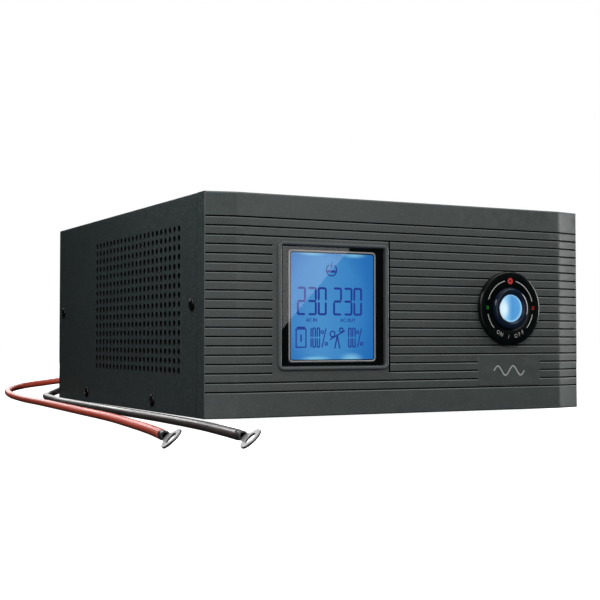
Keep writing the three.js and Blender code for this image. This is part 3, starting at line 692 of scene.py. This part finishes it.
def front_panel(materials):
    centres = groove_centres()
    rows = [(Z0, 0.8), (Z0 + 0.25, 0.3), (Z0 + 0.8, 0.0), (Z1 - 0.8, 0.0), (Z1 - 0.25, 0.3), (Z1, 0.8)]
    rows += [(centre + offset, 0.0) for centre in centres for offset, _ in LIP]
    rows.sort()
    columns = panel_columns()
    verts = []
    depths = []
    for z, round_off in rows:
        for x, y, ax, ay, zone in columns:
            d = max(panel_depth(z, zone, centres), round_off)
            depths.append(d if ay else 0.0)
            verts.append((x + ax * d, y + ay * d, z))
    n = len(columns)
    faces = []
    slots = []
    for i in range(len(rows) - 1):
        for j in range(n - 1):
            face = [i * n + j, i * n + j + 1, (i + 1) * n + j + 1, (i + 1) * n + j]
            faces.append(face)
            # Faces deep in a groove take the painted shade.
            if max(depths[k] for k in face) > 0.5:
                slots.append(1)
            # Upward lower lips of the grooves take the painted highlight.
            elif any(depths[k] > 0.05 for k in face) and depths[i * n + j] < depths[(i + 1) * n + j]:
                slots.append(2)
            elif j < 2 or j > n - 4:
                slots.append(3)
            else:
                slots.append(0)
    last = (len(rows) - 1) * n
    faces.append([last + j for j in range(n)])
    faces.append([j for j in reversed(range(n))])
    back = [i * n for i in range(len(rows))] + [i * n + n - 1 for i in reversed(range(len(rows)))]
    faces.append(back)
    shape = Shape()
    shape.add(verts, faces)
    shape.slots[:len(slots)] = slots
    looks = [materials[key] for key in ("panel", "groove_shade", "lip_highlight", "steel")]
    piece = shape.build("grooved_panel", looks, sharp=14)

    cavity = Shape()
    wall = 2.6
    inner = [(-HALF_W + wall, FRONT_Y + 30), (-HALF_W + wall, FRONT_Y + CHAMFER_D + 1.6),
             (-HALF_W + CHAMFER_W, FRONT_Y + 3.2), (HALF_W - CHAMFER_W, FRONT_Y + 3.2),
             (HALF_W - wall, FRONT_Y + CHAMFER_D + 1.6), (HALF_W - wall, FRONT_Y + 30)]
    cavity.loft([[(x, y, z) for x, y in inner] for z in (Z0 + wall, Z1 - wall)])
    window = Shape()
    window.prism(rounded(*DISPLAY, DISPLAY_W + 0.3, DISPLAY_H + 0.3, 4.2), FRONT_Y - 5, FRONT_Y + 8)
    hole = Shape()
    hole.prism(circle(*BUTTON, 18.3, 64), FRONT_Y - 5, FRONT_Y + 8)
    left, right, low, high = BADGE
    recess = Shape()
    recess.box(left, right, FRONT_Y - 3, FRONT_Y + 1.3, low, high)
    cutters = [s.build("cutter", [materials["panel"]]) for s in (cavity, window, hole, recess)]
    cut(piece, cutters)
    shade(piece.data, 14)
    own(piece, replaces=["front_panel"])


def badge(materials):
    """Smooth name plate without a name: only the sign for alternating current."""
    left, right, low, high = BADGE
    shape = Shape()
    gap = 0.22
    w, h = right - left - 2 * gap, high - low - 2 * gap
    centre = ((left + right) / 2, (low + high) / 2)
    profile = [(0.0, FRONT_Y + 1.0), (0.0, FRONT_Y + 0.18), (0.18, FRONT_Y + 0.0)]
    loops = [[(x, y, z) for x, z in rounded(*centre, w - 2 * i, h - 2 * i, 0.3, 2)] for i, y in profile]
    shape.loft(loops)
    piece = shape.build("name_plate_blank", [materials["panel"]], sharp=30)
    own(piece, replaces=["badge_plate"])

    sign = Shape()
    span, swing, stroke, steps = 26.0, 3.2, 0.9, 48
    upper, lower = [], []
    for i in range(steps + 1):
        a = 4 * math.pi * i / steps
        x = centre[0] - span / 2 + span * i / steps
        z = centre[1] + swing * math.sin(a)
        slope = swing * math.cos(a) * 4 * math.pi / span
        norm = math.hypot(1, slope)
        upper.append((x - slope / norm * stroke / 2, z + stroke / 2 / norm))
        lower.append((x + slope / norm * stroke / 2, z - stroke / 2 / norm))
    verts = [(x, FRONT_Y - 0.03, z) for x, z in upper + lower]
    faces = [[i, i + 1, steps + 2 + i, steps + 1 + i] for i in range(steps)]
    sign.add(verts, faces)
    own(sign.build("name_plate_sign", [materials["print_grey"]]))


# ---------------------------------------------------------------- display
SEGMENTS = {"0": "abcdef", "1": "bc", "2": "abged", "3": "abgcd"}


def digit(shape, char, x, z, w, h, stroke, y):
    """Seven-segment figure with its lower left corner at (x, z)."""
    gap = stroke * 0.28
    r = stroke / 2
    half = h / 2
    bars = {
        "a": (x, z + h, x + w, z + h), "d": (x, z, x + w, z), "g": (x, z + half, x + w, z + half),
        "b": (x + w, z + half, x + w, z + h), "c": (x + w, z, x + w, z + half),
        "f": (x, z + half, x, z + h), "e": (x, z, x, z + half),
    }
    for key in SEGMENTS[char]:
        x0, z0, x1, z1 = bars[key]
        if z0 == z1:
            zc = z0 + {"a": -1, "d": 1, "g": 0}[key] * r
            low, high = x0 + gap, x1 - gap
            outline = [(low + r, zc - r), (high - r, zc - r), (high, zc),
                       (high - r, zc + r), (low + r, zc + r), (low, zc)]
        else:
            xc = x0 + (r if key in "ef" else -r)
            low, high = z0 + gap, z1 - gap
            outline = [(xc - r, low + r), (xc, low), (xc + r, low + r),
                       (xc + r, high - r), (xc, high), (xc - r, high - r)]
        shape.prism(outline, y, y + 0.06)


def stroke_line(shape, points, width, y, closed=False):
    """A thin drawn line on the display."""
    ends = points[1:] + (points[:1] if closed else [])
    for (x0, z0), (x1, z1) in zip(points, ends):
        length = math.hypot(x1 - x0, z1 - z0) or 1
        dx, dz = (x1 - x0) / length, (z1 - z0) / length
        ox, oz = -dz * width / 2, dx * width / 2
        ex, ez = dx * width * 0.3, dz * width * 0.3
        outline = [(x0 - ex - ox, z0 - ez - oz), (x1 + ex - ox, z1 + ez - oz),
                   (x1 + ex + ox, z1 + ez + oz), (x0 - ex + ox, z0 - ez + oz)]
        shape.prism(outline, y, y + 0.06)


def lcd_figures(materials):
    y = FRONT_Y + 1.45
    shape = Shape()
    for text, xs in (("230", (-83.7, -75.9, -68.6)), ("230", (-57.4, -49.6, -42.4))):
        for char, x in zip(text, xs):
            digit(shape, char, x, 67.1, 6.5, 18.1, 1.4, y)
    write(shape, "AC IN", 3.0, (-73.2, y, 64.0), bold=0.08)
    write(shape, "AC OUT", 3.0, (-46.6, y, 64.0), bold=0.08)
    for text, x0 in (("100", -75.7), ("00", -46.4)):
        for i, char in enumerate(text):
            digit(shape, char, x0 + i * 3.1, 46.4, 2.6, 13.0, 0.85, y)
        x = x0 + len(text) * 3.1 + 0.3
        stroke_line(shape, [(x + 0.6, 46.9), (x + 3.4, 58.6)], 0.75, y)
        stroke_line(shape, circle(x + 0.7, 56.4, 0.95, 8), 0.65, y, closed=True)
        stroke_line(shape, circle(x + 3.6, 48.9, 0.95, 8), 0.65, y, closed=True)
    stroke_line(shape, [(-84.2, 46.8), (-77.2, 46.8), (-77.2, 58.3), (-84.2, 58.3)], 0.8, y, closed=True)
    stroke_line(shape, [(-83.3, 59.3), (-78.1, 59.3)], 1.1, y)
    stroke_line(shape, [(-80.7, 50.6), (-80.7, 54.6)], 1.0, y)
    stroke_line(shape, circle(-57.9, 55.2, 1.8, 14), 0.8, y, closed=True)
    stroke_line(shape, circle(-51.4, 57.8, 1.3, 12), 0.8, y, closed=True)
    stroke_line(shape, [(-59.7, 51.7), (-49.0, 57.2)], 0.8, y)
    stroke_line(shape, [(-56.2, 46.2), (-54.4, 54.0), (-52.6, 46.2)], 0.9, y)
    ring = [(-58.6 + 3.75 * math.cos(a), 96.3 + 3.75 * math.sin(a))
            for a in (math.radians(125 + 290 * i / 26) for i in range(27))]
    stroke_line(shape, ring, 0.75, y)
    stroke_line(shape, [(-57.9, 101.2), (-59.2, 99.0), (-58.0, 99.0), (-59.3, 96.9)], 0.5, y)
    stroke_line(shape, [(-61.2, 95.4), (-56.0, 95.4)], 1.5, y)
    own(shape.build("lcd_figures", [materials["ink"]]))


def display(materials):
    f = FRONT_Y
    bezel = Shape()
    profile = [(0.0, f + 2.9), (0.0, f - 0.8), (0.12, f - 1.2), (0.42, f - 1.5), (0.8, f - 1.6),
               (1.5, f - 1.6), (1.9, f - 1.5), (2.25, f - 1.2), (2.5, f - 0.55), (2.6, f + 0.2),
               (2.6, f + 2.9)]
    frame_ring(bezel, DISPLAY, DISPLAY_W, DISPLAY_H, 4.0, profile)
    piece = bezel.build("screen_bezel", [materials["bezel"]], sharp=50)
    own(piece, replaces=["display_bezel"])

    glass = Shape()
    w, h = DISPLAY_W - 5.8, DISPLAY_H - 5.8
    edge = [(0.6, 1.2, f - 1.1), (0.25, 1.6, f - 1.1), (0.0, 1.6, f - 0.85), (0.0, 1.6, f + 0.6)]
    glass.loft([[(x, y, z) for x, z in rounded(*DISPLAY, w - 2 * inset, h - 2 * inset, r)]
                for inset, r, y in edge])
    piece = glass.build("screen_glass", [materials["glass"]], sharp=20)
    own(piece, replaces=["display_glass"])

    trim = Shape()
    profile = [(0.0, f + 2.6), (0.0, f + 1.35), (0.3, f + 1.12), (0.8, f + 1.12), (1.1, f + 1.35),
               (1.1, f + 2.6)]
    frame_ring(trim, DISPLAY, 64.0, 71.4, 2.6, profile)
    piece = trim.build("screen_trim", [materials["silver"]], sharp=50)
    own(piece, replaces=["display_trim"])

    inner = Shape()
    profile = [(0.0, f + 1.5), (0.55, f + 1.5), (0.55, f + 2.6), (0.0, f + 2.6)]
    frame_ring(inner, DISPLAY, 61.7, 69.1, 1.6, profile)
    own(inner.build("screen_inner_mask", [materials["mask"]]))
    lcd_figures(materials)


# ---------------------------------------------------------------- power button
def arc_band(shape, centre, radius, stroke, start, end, y, slot):
    steps = max(6, int(abs(end - start) / 3))
    inner, outer = [], []
    for i in range(steps + 1):
        a = math.radians(start + (end - start) * i / steps)
        for points, r in ((inner, radius - stroke / 2), (outer, radius + stroke / 2)):
            points.append((centre[0] + r * math.cos(a), centre[1] + r * math.sin(a)))
    verts = [(x, y, z) for x, z in inner + outer]
    faces = [[i, i + 1, steps + 2 + i, steps + 1 + i] for i in range(steps)]
    shape.add(verts, faces, slot)


def power_button(materials):
    x, z = BUTTON
    f = FRONT_Y
    r = BEZEL_R
    bezel = [(14.8, f - 2.9), (15.0, f - 3.3), (15.5, f - 3.5), (r - 1.1, f - 3.5), (r - 0.55, f - 3.4),
             (r - 0.2, f - 3.1), (r, f - 2.6), (r, f - 0.9), (r - 0.3, f - 0.3), (18.0, f - 0.3),
             (18.0, f + 5.9), (14.8, f + 5.9)]
    piece = turned("button_disc", bezel, BUTTON, [materials["black"]], segments=128, sharp=45, ring=True)
    own(piece, replaces=["button_bezel"])

    cap = [(0.0, f - 2.4), (9.55, f - 2.4), (9.65, f - 4.9), (10.1, f - 5.4), (11.4, f - 5.6),
           (12.8, f - 5.55), (13.9, f - 5.1), (14.4, f - 4.3), (14.5, f - 3.4), (14.5, f + 3.9),
           (3.0, f + 3.9), (3.0, f + 6.9), (0.0, f + 6.9)]
    piece = turned("button_cap", cap, BUTTON, [materials["navy"]], segments=128, sharp=45)
    own(piece, "power_button", replaces=["power_button"])

    lens = [(0.0, f - 5.35), (4.0, f - 5.28), (7.2, f - 5.05), (8.7, f - 4.75), (9.25, f - 4.4),
            (LENS_R, f - 3.9), (LENS_R, f - 2.75), (0.0, f - 2.75)]
    piece = turned("button_lens_dome", lens, BUTTON, [materials["lens"]], segments=128, sharp=50)
    own(piece, "power_button", replaces=["button_lens"])

    marks = Shape()
    y = f - 3.53
    for start, end in ((104, 162), (76, 15), (192, 224), (-12, -44)):
        arc_band(marks, BUTTON, 19.4, 0.6, start, end, y, 0)
    word = "ON / OFF"
    for i, char in enumerate(word):
        angle = 270 + (i - (len(word) - 1) / 2) * 9.3
        a = math.radians(angle)
        place = (x + 19.6 * math.cos(a), y, z + 19.6 * math.sin(a))
        write(marks, char, 3.9, place, turn=angle + 90, slot=0, width=0.85)
    write(marks, "10", 3.0, (x - 19.5, y, z + 0.6), turn=-90, slot=1, width=0.9)
    write(marks, "20", 3.0, (x + 19.5, y, z + 0.6), turn=-90, slot=2, width=0.9)
    marks.add([(px, y, pz) for px, pz in circle(x, z + 18.9, 2.3, 8, math.pi / 8)], [list(range(8))], 2)
    marks.add([(px, y - 0.02, pz) for px, pz in circle(x, z + 18.9, 0.75, 16)], [list(range(16))], 3)
    looks = [materials[key] for key in ("print_grey", "print_green", "print_red", "black")]
    own(marks.build("button_marks", looks))


# ---------------------------------------------------------------- cover
def cover(materials):
    ys = [VENT_FIRST_Y + (i - 0.5) * VENT_PITCH_Y for i in range(VENT_COLUMNS + 1)]
    zs = [VENT_FIRST_Z + (i - 0.5) * VENT_PITCH_Z for i in range(VENT_ROWS + 1)]
    front = FRONT_Y + PANEL_DEPTH + 0.3
    bend = 0.5
    ys = [front, front + 6, *ys, REAR_Y - 6, REAR_Y]
    side = [Z0, Z0 + 12, *zs, Z1 - bend - 3, Z1 - bend]
    turns = [math.radians(15 * k) for k in range(1, 7)]
    arc = [(bend * math.sin(a), bend * (1 - math.cos(a))) for a in turns]
    left = [(-HALF_W, z) for z in side] + [(-HALF_W + dz, Z1 - bend + dx) for dx, dz in arc]
    top = [(-HALF_W + bend + 3, Z1), (0.0, Z1), (HALF_W - bend - 3, Z1)]
    right = [(-x, z) for x, z in reversed(left)]
    profile = left + top + right
    vent_first, vent_last = 2, 2 + VENT_ROWS
    n = len(profile)
    shape = Shape()
    verts = [(x, y, z) for y in ys for x, z in profile]
    faces = []
    holes = []
    for j in range(len(ys) - 1):
        for i in range(n - 1):
            mirrored = n - 2 - i
            in_rows = vent_first <= i < vent_last or vent_first <= mirrored < vent_last
            quad = [j * n + i, j * n + i + 1, (j + 1) * n + i + 1, (j + 1) * n + i]
            if in_rows and 2 <= j < 2 + VENT_COLUMNS:
                holes.append(quad)
            else:
                faces.append(quad)
    for quad in holes:
        corners = [Vector(verts[k]) for k in quad]
        centre = sum(corners, Vector()) / 4
        along = (corners[1] - corners[0]).normalized()
        across = (corners[3] - corners[0]).normalized()
        base = len(verts)
        for k in range(16):
            a = math.radians(-135 + 22.5 * k)
            verts.append(tuple(centre + VENT_HOLE_R * (math.cos(a) * along + math.sin(a) * across)))
        for k in range(4):
            rim = [base + (4 * k + m) % 16 for m in range(5)]
            faces.append([quad[k], quad[(k + 1) % 4], *reversed(rim)])
    shape.add(verts, faces)
    piece = shape.build("perforated_cover", [materials["steel"], materials["sheet_edge_shade"]], sharp=30)
    thickness = piece.modifiers.new("sheet", "SOLIDIFY")
    thickness.thickness = VISIBLE_SHEET * MM
    thickness.offset = -1.0
    # The rim faces of the sheet, hole walls included, take the painted shade.
    thickness.material_offset_rim = 1
    settle(piece)
    shade(piece.data, 40)
    own(piece, replaces=["top_cover"])


def dust_filters(materials):
    """Near-black sheets behind the two fields of holes, standing in for the shade inside the case: painted
    shade.
    """
    y0, y1 = VENT_FIRST_Y - 7, VENT_FIRST_Y + (VENT_COLUMNS - 1) * VENT_PITCH_Y + 7
    z0, z1 = VENT_FIRST_Z - 6, VENT_FIRST_Z + (VENT_ROWS - 1) * VENT_PITCH_Z + 6
    inside = HALF_W - SHEET - 0.3
    for label, side in (("left", -1), ("right", 1)):
        shape = Shape()
        rows = []
        for inset, depth in ((0.0, 1.1), (0.0, 0.2), (0.2, 0.0), (2.4, 0.0), (2.8, 0.5)):
            x = side * (inside - depth)
            rows.append([(x, y0 + inset, z0 + inset), (x, y1 - inset, z0 + inset),
                         (x, y1 - inset, z1 - inset), (x, y0 + inset, z1 - inset)])
        shape.loft(rows)
        piece = shape.build(f"dust_filter_{label}", [materials["filter"]], sharp=30)
        own(piece)


def stand_up(place, outward):
    """Moves the origin to place and turns +Z to the outward direction."""
    turning = Vector((0, 0, 1)).rotation_difference(Vector(outward)).to_matrix().to_4x4()
    return Matrix.Translation(place) @ turning


def pan_screw(shape, place, outward):
    """Pan head without its recess, driven along -outward."""
    r = 3.9
    profile = [(r - 0.2, 0.0), (r, 0.15), (r, 0.55), (r - 0.25, 1.0), (r - 0.9, 1.45), (r - 1.9, 1.75),
               (1.9, 1.8)]
    segments = 32
    shape.loft([[(a, b, h) for a, b in circle(0, 0, radius, segments)] for radius, h in profile], cap=False)
    base = len(shape.verts) - segments
    shape.faces.append([base + k for k in range(segments)])
    shape.slots.append(0)
    shape.move(stand_up(place, outward))


def blade(place, outward, angle):
    """One arm of the cross recess, turned by angle in degrees about the screw's axis."""
    shape = Shape()
    corners = ((-1, -1), (1, -1), (1, 1), (-1, 1))
    shape.loft([[(sx * (1.75 - taper), sy * 0.32, 2.2 - depth) for sx, sy in corners]
                for depth, taper in ((0, 0), (1.7, 0.7))])
    shape.move(stand_up(place, outward) @ Matrix.Rotation(math.radians(angle), 4, "Z"))
    return shape


def screw_piece(name, place, outward, spin, material, replaces=()):
    shape = Shape()
    pan_screw(shape, place, outward)
    piece = shape.build(name, [material], sharp=40)
    for angle in (spin, spin + 90):
        cut(piece, [blade(place, outward, angle).build("cutter", [material])])
    shade(piece.data, 40)
    return own(piece, replaces=replaces)


def screws(materials):
    rng = random.Random(4)
    for label, side in (("left", -1), ("right", 1)):
        for i, (y, z) in enumerate(SIDE_SCREWS):
            place = (side * (HALF_W + 0.02), FRONT_Y + y, Z0 + z)
            screw_piece(f"cover_screw_{label}_{i + 1}", place, (side, 0, 0), rng.uniform(0, 90),
                        materials["black_zinc"], [f"side_screw_{label}_{i + 1}"])
    places = [(-136, 12), (136, 12), (-136, 134), (136, 134), (0, 134)]
    places += [(FAN[0] + sx * 35.75, FAN[1] + sz * 35.75) for sx in (-1, 1) for sz in (-1, 1)]
    for i, (x, z) in enumerate(places):
        screw_piece(f"rear_screw_{i + 1}", (x, REAR_Y + 0.02, z), (0, 1, 0), rng.uniform(0, 90),
                    materials["black_zinc"])


# ---------------------------------------------------------------- rear side
def fan_parts(materials):
    x, z = FAN
    g = REAR_FACE
    guard = Shape()
    for radius in (8.5, 15, 21.5, 28, 34.3):
        path = [(px, g + 0.75, pz) for px, pz in circle(x, z, radius, 56)]
        tube(guard, path, 0.7, 10, closed=True)
    for k in range(4):
        a = math.radians(45 + 90 * k)
        start = (x + 6 * math.cos(a), g + 1.3, z + 6 * math.sin(a))
        end = (x + 34.6 * math.cos(a), g + 1.3, z + 34.6 * math.sin(a))
        tube(guard, [start, end], 0.68, 10)
    piece = guard.build("wire_guard", [materials["zinc"]], sharp=50)
    own(piece, replaces=["fan_guard"])

    y1 = REAR_Y - SHEET - 0.3
    y0 = y1 - 25
    rotor = Shape()
    hub = [(0.0, y0 + 3.6), (14.2, y0 + 3.6), (15, y0 + 4.4), (15, y1 - 3.0), (14.4, y1 - 2.0),
           (13.4, y1 - 1.6), (0.0, y1 - 1.6)]
    rotor.loft(hoops(x, z, hub, 64))
    middle = (y0 + y1) / 2 + 0.8
    blade_edge = ((-1, -1), (-0.4, -1), (0.3, -1), (1, -1), (1, 1), (0.3, 1), (-0.4, 1), (-1, 1))
    for k in range(7):
        loops = []
        for step in range(7):
            r = 14.5 + 21.8 * step / 6
            pitch = math.radians(50 - 16 * step / 6)
            half = 7.0 + 3.4 * step / 6
            sweep = 2 * math.pi * k / 7 + 0.30 * (step / 6) ** 1.5
            section = []
            for t, side in blade_edge:
                camber = 1.0 * (1 - t * t)
                along = t * half * math.cos(pitch) - side * 0.45 * math.sin(pitch)
                depth = t * half * math.sin(pitch) + side * 0.45 * math.cos(pitch) + camber
                a = sweep + along / r
                section.append((x + r * math.cos(a), middle + depth * 0.98, z + r * math.sin(a)))
            loops.append(section)
        rotor.loft(loops)
    piece = rotor.build("fan_impeller", [materials["plastic"]], sharp=40)
    own(piece, "fan_rotor", replaces=["fan_rotor"])


def socket_shell(x, z, face):
    """Square plate with rounded corners round a deep round recess."""
    plate = []
    for inset, y in ((0.8, 3.0), (0.25, 2.75), (0.0, 2.2), (0.0, 0.0)):
        outline = rounded(x, z, 54 - 2 * inset, 54 - 2 * inset, 5 - inset, 7)
        plate.append([(px, face + y, pz) for px, pz in outline])
    corners = rounded(x, z, 54, 54, 5, 7)
    angles = [math.atan2(pz - z, px - x) for px, pz in corners]

    def at(r, y):
        return [(x + math.cos(a) * r, face + y, z + math.sin(a) * r) for a in angles]

    recess = [(0.05, -14.3), (19.2, -14.3), (19.5, -14.0), (19.5, 1.9), (19.9, 2.6), (20.6, 3.0)]
    tail = [(21.4, 0.0), (21.4, -19.8), (0.05, -19.8)]
    shell = Shape()
    shell.loft([at(r, y) for r, y in recess] + plate + [at(r, y) for r, y in tail])
    return shell


def socket_contacts(x, z, face):
    """Collars round the two holes, and the earth spring at each side of the recess."""
    contacts = Shape()
    collar = [(2.4, face - 14.9), (2.9, face - 14.1), (2.6, face - 13.95), (1.9, face - 14.15),
              (1.9, face - 14.85)]
    hole = [(0.05, face - 14.05), (1.9, face - 14.05)]
    sides = [[0, 1, 2, 3], [4, 5, 6, 7], [0, 1, 5, 4], [1, 2, 6, 5], [2, 3, 7, 6], [3, 0, 4, 7]]
    for side in (-1, 1):
        contacts.loft(hoops(x + side * 9.5, z, collar, 24), 1, ring=True)
        # Painted shade: a near-black disc closes each hole where its dark inside would be.
        contacts.loft(hoops(x + side * 9.5, z, hole, 24), 2, cap=False)
        zc = z + side * 18.9
        path = [(face - 14, zc + side * 0.3), (face - 9, zc - side * 0.9), (face - 4, zc - side * 0.3),
                (face - 1.2, zc + side * 0.5)]
        for (ya, za), (yb, zb) in zip(path, path[1:]):
            verts = [(x - 2.3, ya, za), (x + 2.3, ya, za), (x + 2.3, yb, zb), (x - 2.3, yb, zb)]
            verts += [(px, py, pz + side * 0.5) for px, py, pz in verts]
            contacts.add(verts, sides)
    return contacts


def outlet_parts(materials):
    for name, (x, z) in OUTLETS.items():
        shell = socket_shell(x, z, REAR_FACE)
        piece = shell.build(f"mains_socket_{name}", [materials["plastic"]], sharp=40)
        own(piece, replaces=[f"ac_outlet_{name}"])
        looks = [materials[key] for key in ("brass", "plastic", "black")]
        piece = socket_contacts(x, z, REAR_FACE).build(f"socket_contacts_{name}", looks)
        own(piece)


def inlet_parts(materials):
    """Three flat pins, each with a tapered tip."""
    x, z = INLET
    pins = Shape()
    turn = Matrix.Rotation(math.radians(90), 4, "Y")
    corners = ((-1, -1), (1, -1), (1, 1), (-1, 1))
    for dx, dz in ((-7, 4), (7, 4), (0, 8)):
        start = len(pins.verts)
        pins.loft([[(sx * w, y, sz * h) for sx, sz in corners]
                   for w, h, y in ((2, 1, 0), (2, 1, 11.5), (1.5, 0.6, 13.2))])
        pins.move(Matrix.Translation((x + dx, REAR_FACE - 14.9, z + dz)) @ turn, start)
    own(pins.build("inlet_pins", [materials["tin"]], bevel=0.15))


def gland_parts(materials):
    """Hexagon nut, ribbed sleeve and the thread through the rear panel."""
    face = REAR_FACE
    end = REAR_Y + 14
    looks = {"red": ("red_cable", "red_insulation"), "black": ("plastic", "black_plastic")}
    nut = [(8.9, face), (8.9, face + 3.4), (8.4, face + 3.9)]
    sleeve = []
    for k in range(6):
        sleeve += [(7.9, face + 4.0 + k * 1.1), (7.5, face + 4.55 + k * 1.1)]
    sleeve += [(7.6, end - 3.2), (6.9, end - 1.6), (5.4, end - 0.4), (4.0, end - 0.05), (2.9, end - 0.02),
               (2.85, end - 2.0), (0.05, end - 2.0)]
    thread = [(5.9, REAR_Y - 9.8), (5.9, face + 0.5)]
    for colour, centre in GLANDS.items():
        shape = Shape()
        for profile, sides in ((nut, 6), (sleeve, 40), (thread, 24)):
            shape.loft(hoops(*centre, profile, sides))
        key, slot = looks[colour]
        piece = shape.build(f"strain_gland_{colour}", [materials[key]], sharp=40)
        own(piece, replaces=[f"gland_{colour}"])


def feet(materials):
    places = {"front_left": (-1, -1), "front_right": (1, -1), "rear_left": (-1, 1), "rear_right": (1, 1)}
    middle = (FRONT_Y + REAR_Y) / 2
    profile = [(0.05, 1.2), (3.0, 1.2), (3.2, 0.9), (3.2, 0.25), (3.6, 0.0), (8.4, 0.0), (9.1, 0.25),
               (9.4, 0.8), (9.5, 2.7), (0.05, 2.7)]
    for name, (sx, sy) in places.items():
        shape = Shape()
        x, y = sx * FOOT_X, middle + sy * FOOT_Y
        shape.loft([[(px, py, h) for px, py in circle(x, y, r, 48)] for r, h in profile])
        piece = shape.build(f"rubber_foot_{name}", [materials["rubber"]], sharp=40)
        own(piece, replaces=[f"foot_{name}"])


def dress_cad(materials):
    """Better materials, and softened edges, on the CAD nodes that keep their shape."""
    looks = {
        "base_chassis": ("steel", 0.0), "rear_panel": ("steel", 0.0), "display_mask": ("mask", 0.0),
        "lcd_panel": ("lcd", 0.0), "display_board": ("board", 0.0), "tactile_switch": ("plastic", 0.2),
        "button_board": ("board", 0.0), "fan_frame": ("plastic", 0.25), "ac_inlet": ("plastic", 0.25),
        "fuse_drawer": ("plastic", 0.2), "mains_fuse": ("silver", 0.3), "breaker_body": ("plastic", 0.3),
        "breaker_button": ("bezel", 0.3), "main_board": ("board", 0.0), "heat_sink_left": ("alu", 0.2),
        "heat_sink_right": ("alu", 0.2), "capacitor_1": ("sleeve", 0.8), "capacitor_2": ("sleeve", 0.8),
        "capacitor_3": ("sleeve", 0.8), "changeover_relay": ("plastic", 0.5),
        "transformer_core": ("core", 0.3), "transformer_winding": ("winding", 1.5),
    }
    for node, (key, width) in looks.items():
        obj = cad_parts[node]
        for slot in obj.material_slots:
            slot.material = materials[key]
        if width:
            add_bevel(obj, width)


# ---------------------------------------------------------------- studio
AMBIENT = 0.02
# name: place, aim, size (metres), power (watts), spin (degrees)
LIGHTS = {
    "veil_card": ((0.145, -0.9, 0.146), (0.145, 0.0, 0.146), (0.9, 0.3), 1.14, 46.7),
    "left_front": ((-1.0, -1.1, 0.7), (-0.1, -0.15, 0.07), (0.6, 0.6), 11.5, 0),
    "left_near": ((-0.33, -0.15, 0.33), (-0.148, -0.1, 0.1), (0.15, 0.15), 0.72, 0),
    "right_box": ((1.3, -0.3, 0.25), (0.13, -0.15, 0.08), (0.4, 0.6), 11.3, 0),
    "sky_right": ((0.6, -0.9, 0.8), (0.0, -0.15, 0.07), (0.6, 0.4), 3, 0),
    "top_box": ((-0.1, -0.1, 1.5), (0, 0, 0), (1.6, 1.2), 8, 0),
    "rear_fill": ((0.3, 1.6, 0.9), (0, 0.15, 0.08), (1.2, 0.9), 18, 0),
    "cable_card": ((-0.5, 1.6, 0.75), (-0.17, -0.2, 0.0), (0.7, 0.5), 6, 0),
}


def area(name, place, target, size, power, spin):
    """Rectangular lamp at place, facing target and turned by spin about its axis."""
    data = bpy.data.lights.new(name, "AREA")
    data.shape = "RECTANGLE"
    data.size, data.size_y = size
    data.energy = power
    light = bpy.data.objects.new(name, data)
    direction = Vector(target) - Vector(place)
    light.rotation_euler = (direction.to_track_quat("-Z", "Y").to_matrix()
                            @ Matrix.Rotation(math.radians(spin), 3, "Z")).to_euler()
    light.location = place
    light.visible_camera = False
    bpy.context.scene.collection.objects.link(light)
    return light


def studio(cables):
    """White backdrop and floor for the camera, lamps and a faint fill for the object."""
    world = bpy.data.worlds.new("studio")
    bpy.context.scene.world = world
    world.use_nodes = True
    tree = world.node_tree
    soft = tree.nodes["Background"]
    fill(tree, soft, {"Color": (0.95, 1.0, 1.0, 1), "Strength": AMBIENT})
    backdrop = add_node(tree, "ShaderNodeBackground", {"Color": (1, 1, 1, 1), "Strength": 1.0})
    path = add_node(tree, "ShaderNodeLightPath", {})
    blend = add_node(tree, "ShaderNodeMixShader",
                     {0: path.outputs["Is Camera Ray"], 1: soft.outputs["Background"],
                      2: backdrop.outputs["Background"]})
    fill(tree, tree.nodes["World Output"], {"Surface": blend.outputs["Shader"]})

    for name, (place, target, size, power, spin) in LIGHTS.items():
        light = area(name, place, target, size, power, spin)
        if name == "cable_card":
            lit = bpy.data.collections.new("lit_by_cable_card")
            for piece in cables:
                lit.objects.link(piece)
            light.light_linking.receiver_collection = lit

    floor = Shape()
    reach = 4000
    corners = ((-reach, -reach), (reach, -reach), (reach, reach), (-reach, reach))
    floor.add([(x, y, -0.05) for x, y in corners], [[0, 1, 2, 3]])
    material, tree, shader = new_material("floor")
    fill(tree, shader, {"Base Color": (0.9, 0.9, 0.9, 1), "Roughness": 0.9, "Specular IOR Level": 0.0,
                        "Emission Color": (1, 1, 1, 1), "Emission Strength": 1.0})
    piece = floor.build("floor", [material])
    piece.visible_glossy = False
    piece.visible_diffuse = False

    view = bpy.context.scene.view_settings
    view.view_transform = "Standard"
    view.look = "None"


# ---------------------------------------------------------------- assembly
make_camera()
MATERIALS = make_materials()
ring_red = ring_terminal("red", *RING_RED, MATERIALS)
ring_black = ring_terminal("black", *RING_BLACK, MATERIALS)
lead_red = make_lead("red", LEAD_RED_ROUTE, MATERIALS["red_cable"])
lead_black = make_lead("black", LEAD_BLACK_ROUTE, MATERIALS["black_cable"])
cover(MATERIALS)
dust_filters(MATERIALS)
front_panel(MATERIALS)
badge(MATERIALS)
display(MATERIALS)
power_button(MATERIALS)
screws(MATERIALS)
fan_parts(MATERIALS)
outlet_parts(MATERIALS)
inlet_parts(MATERIALS)
gland_parts(MATERIALS)
feet(MATERIALS)
dress_cad(MATERIALS)
studio([lead_red, lead_black])
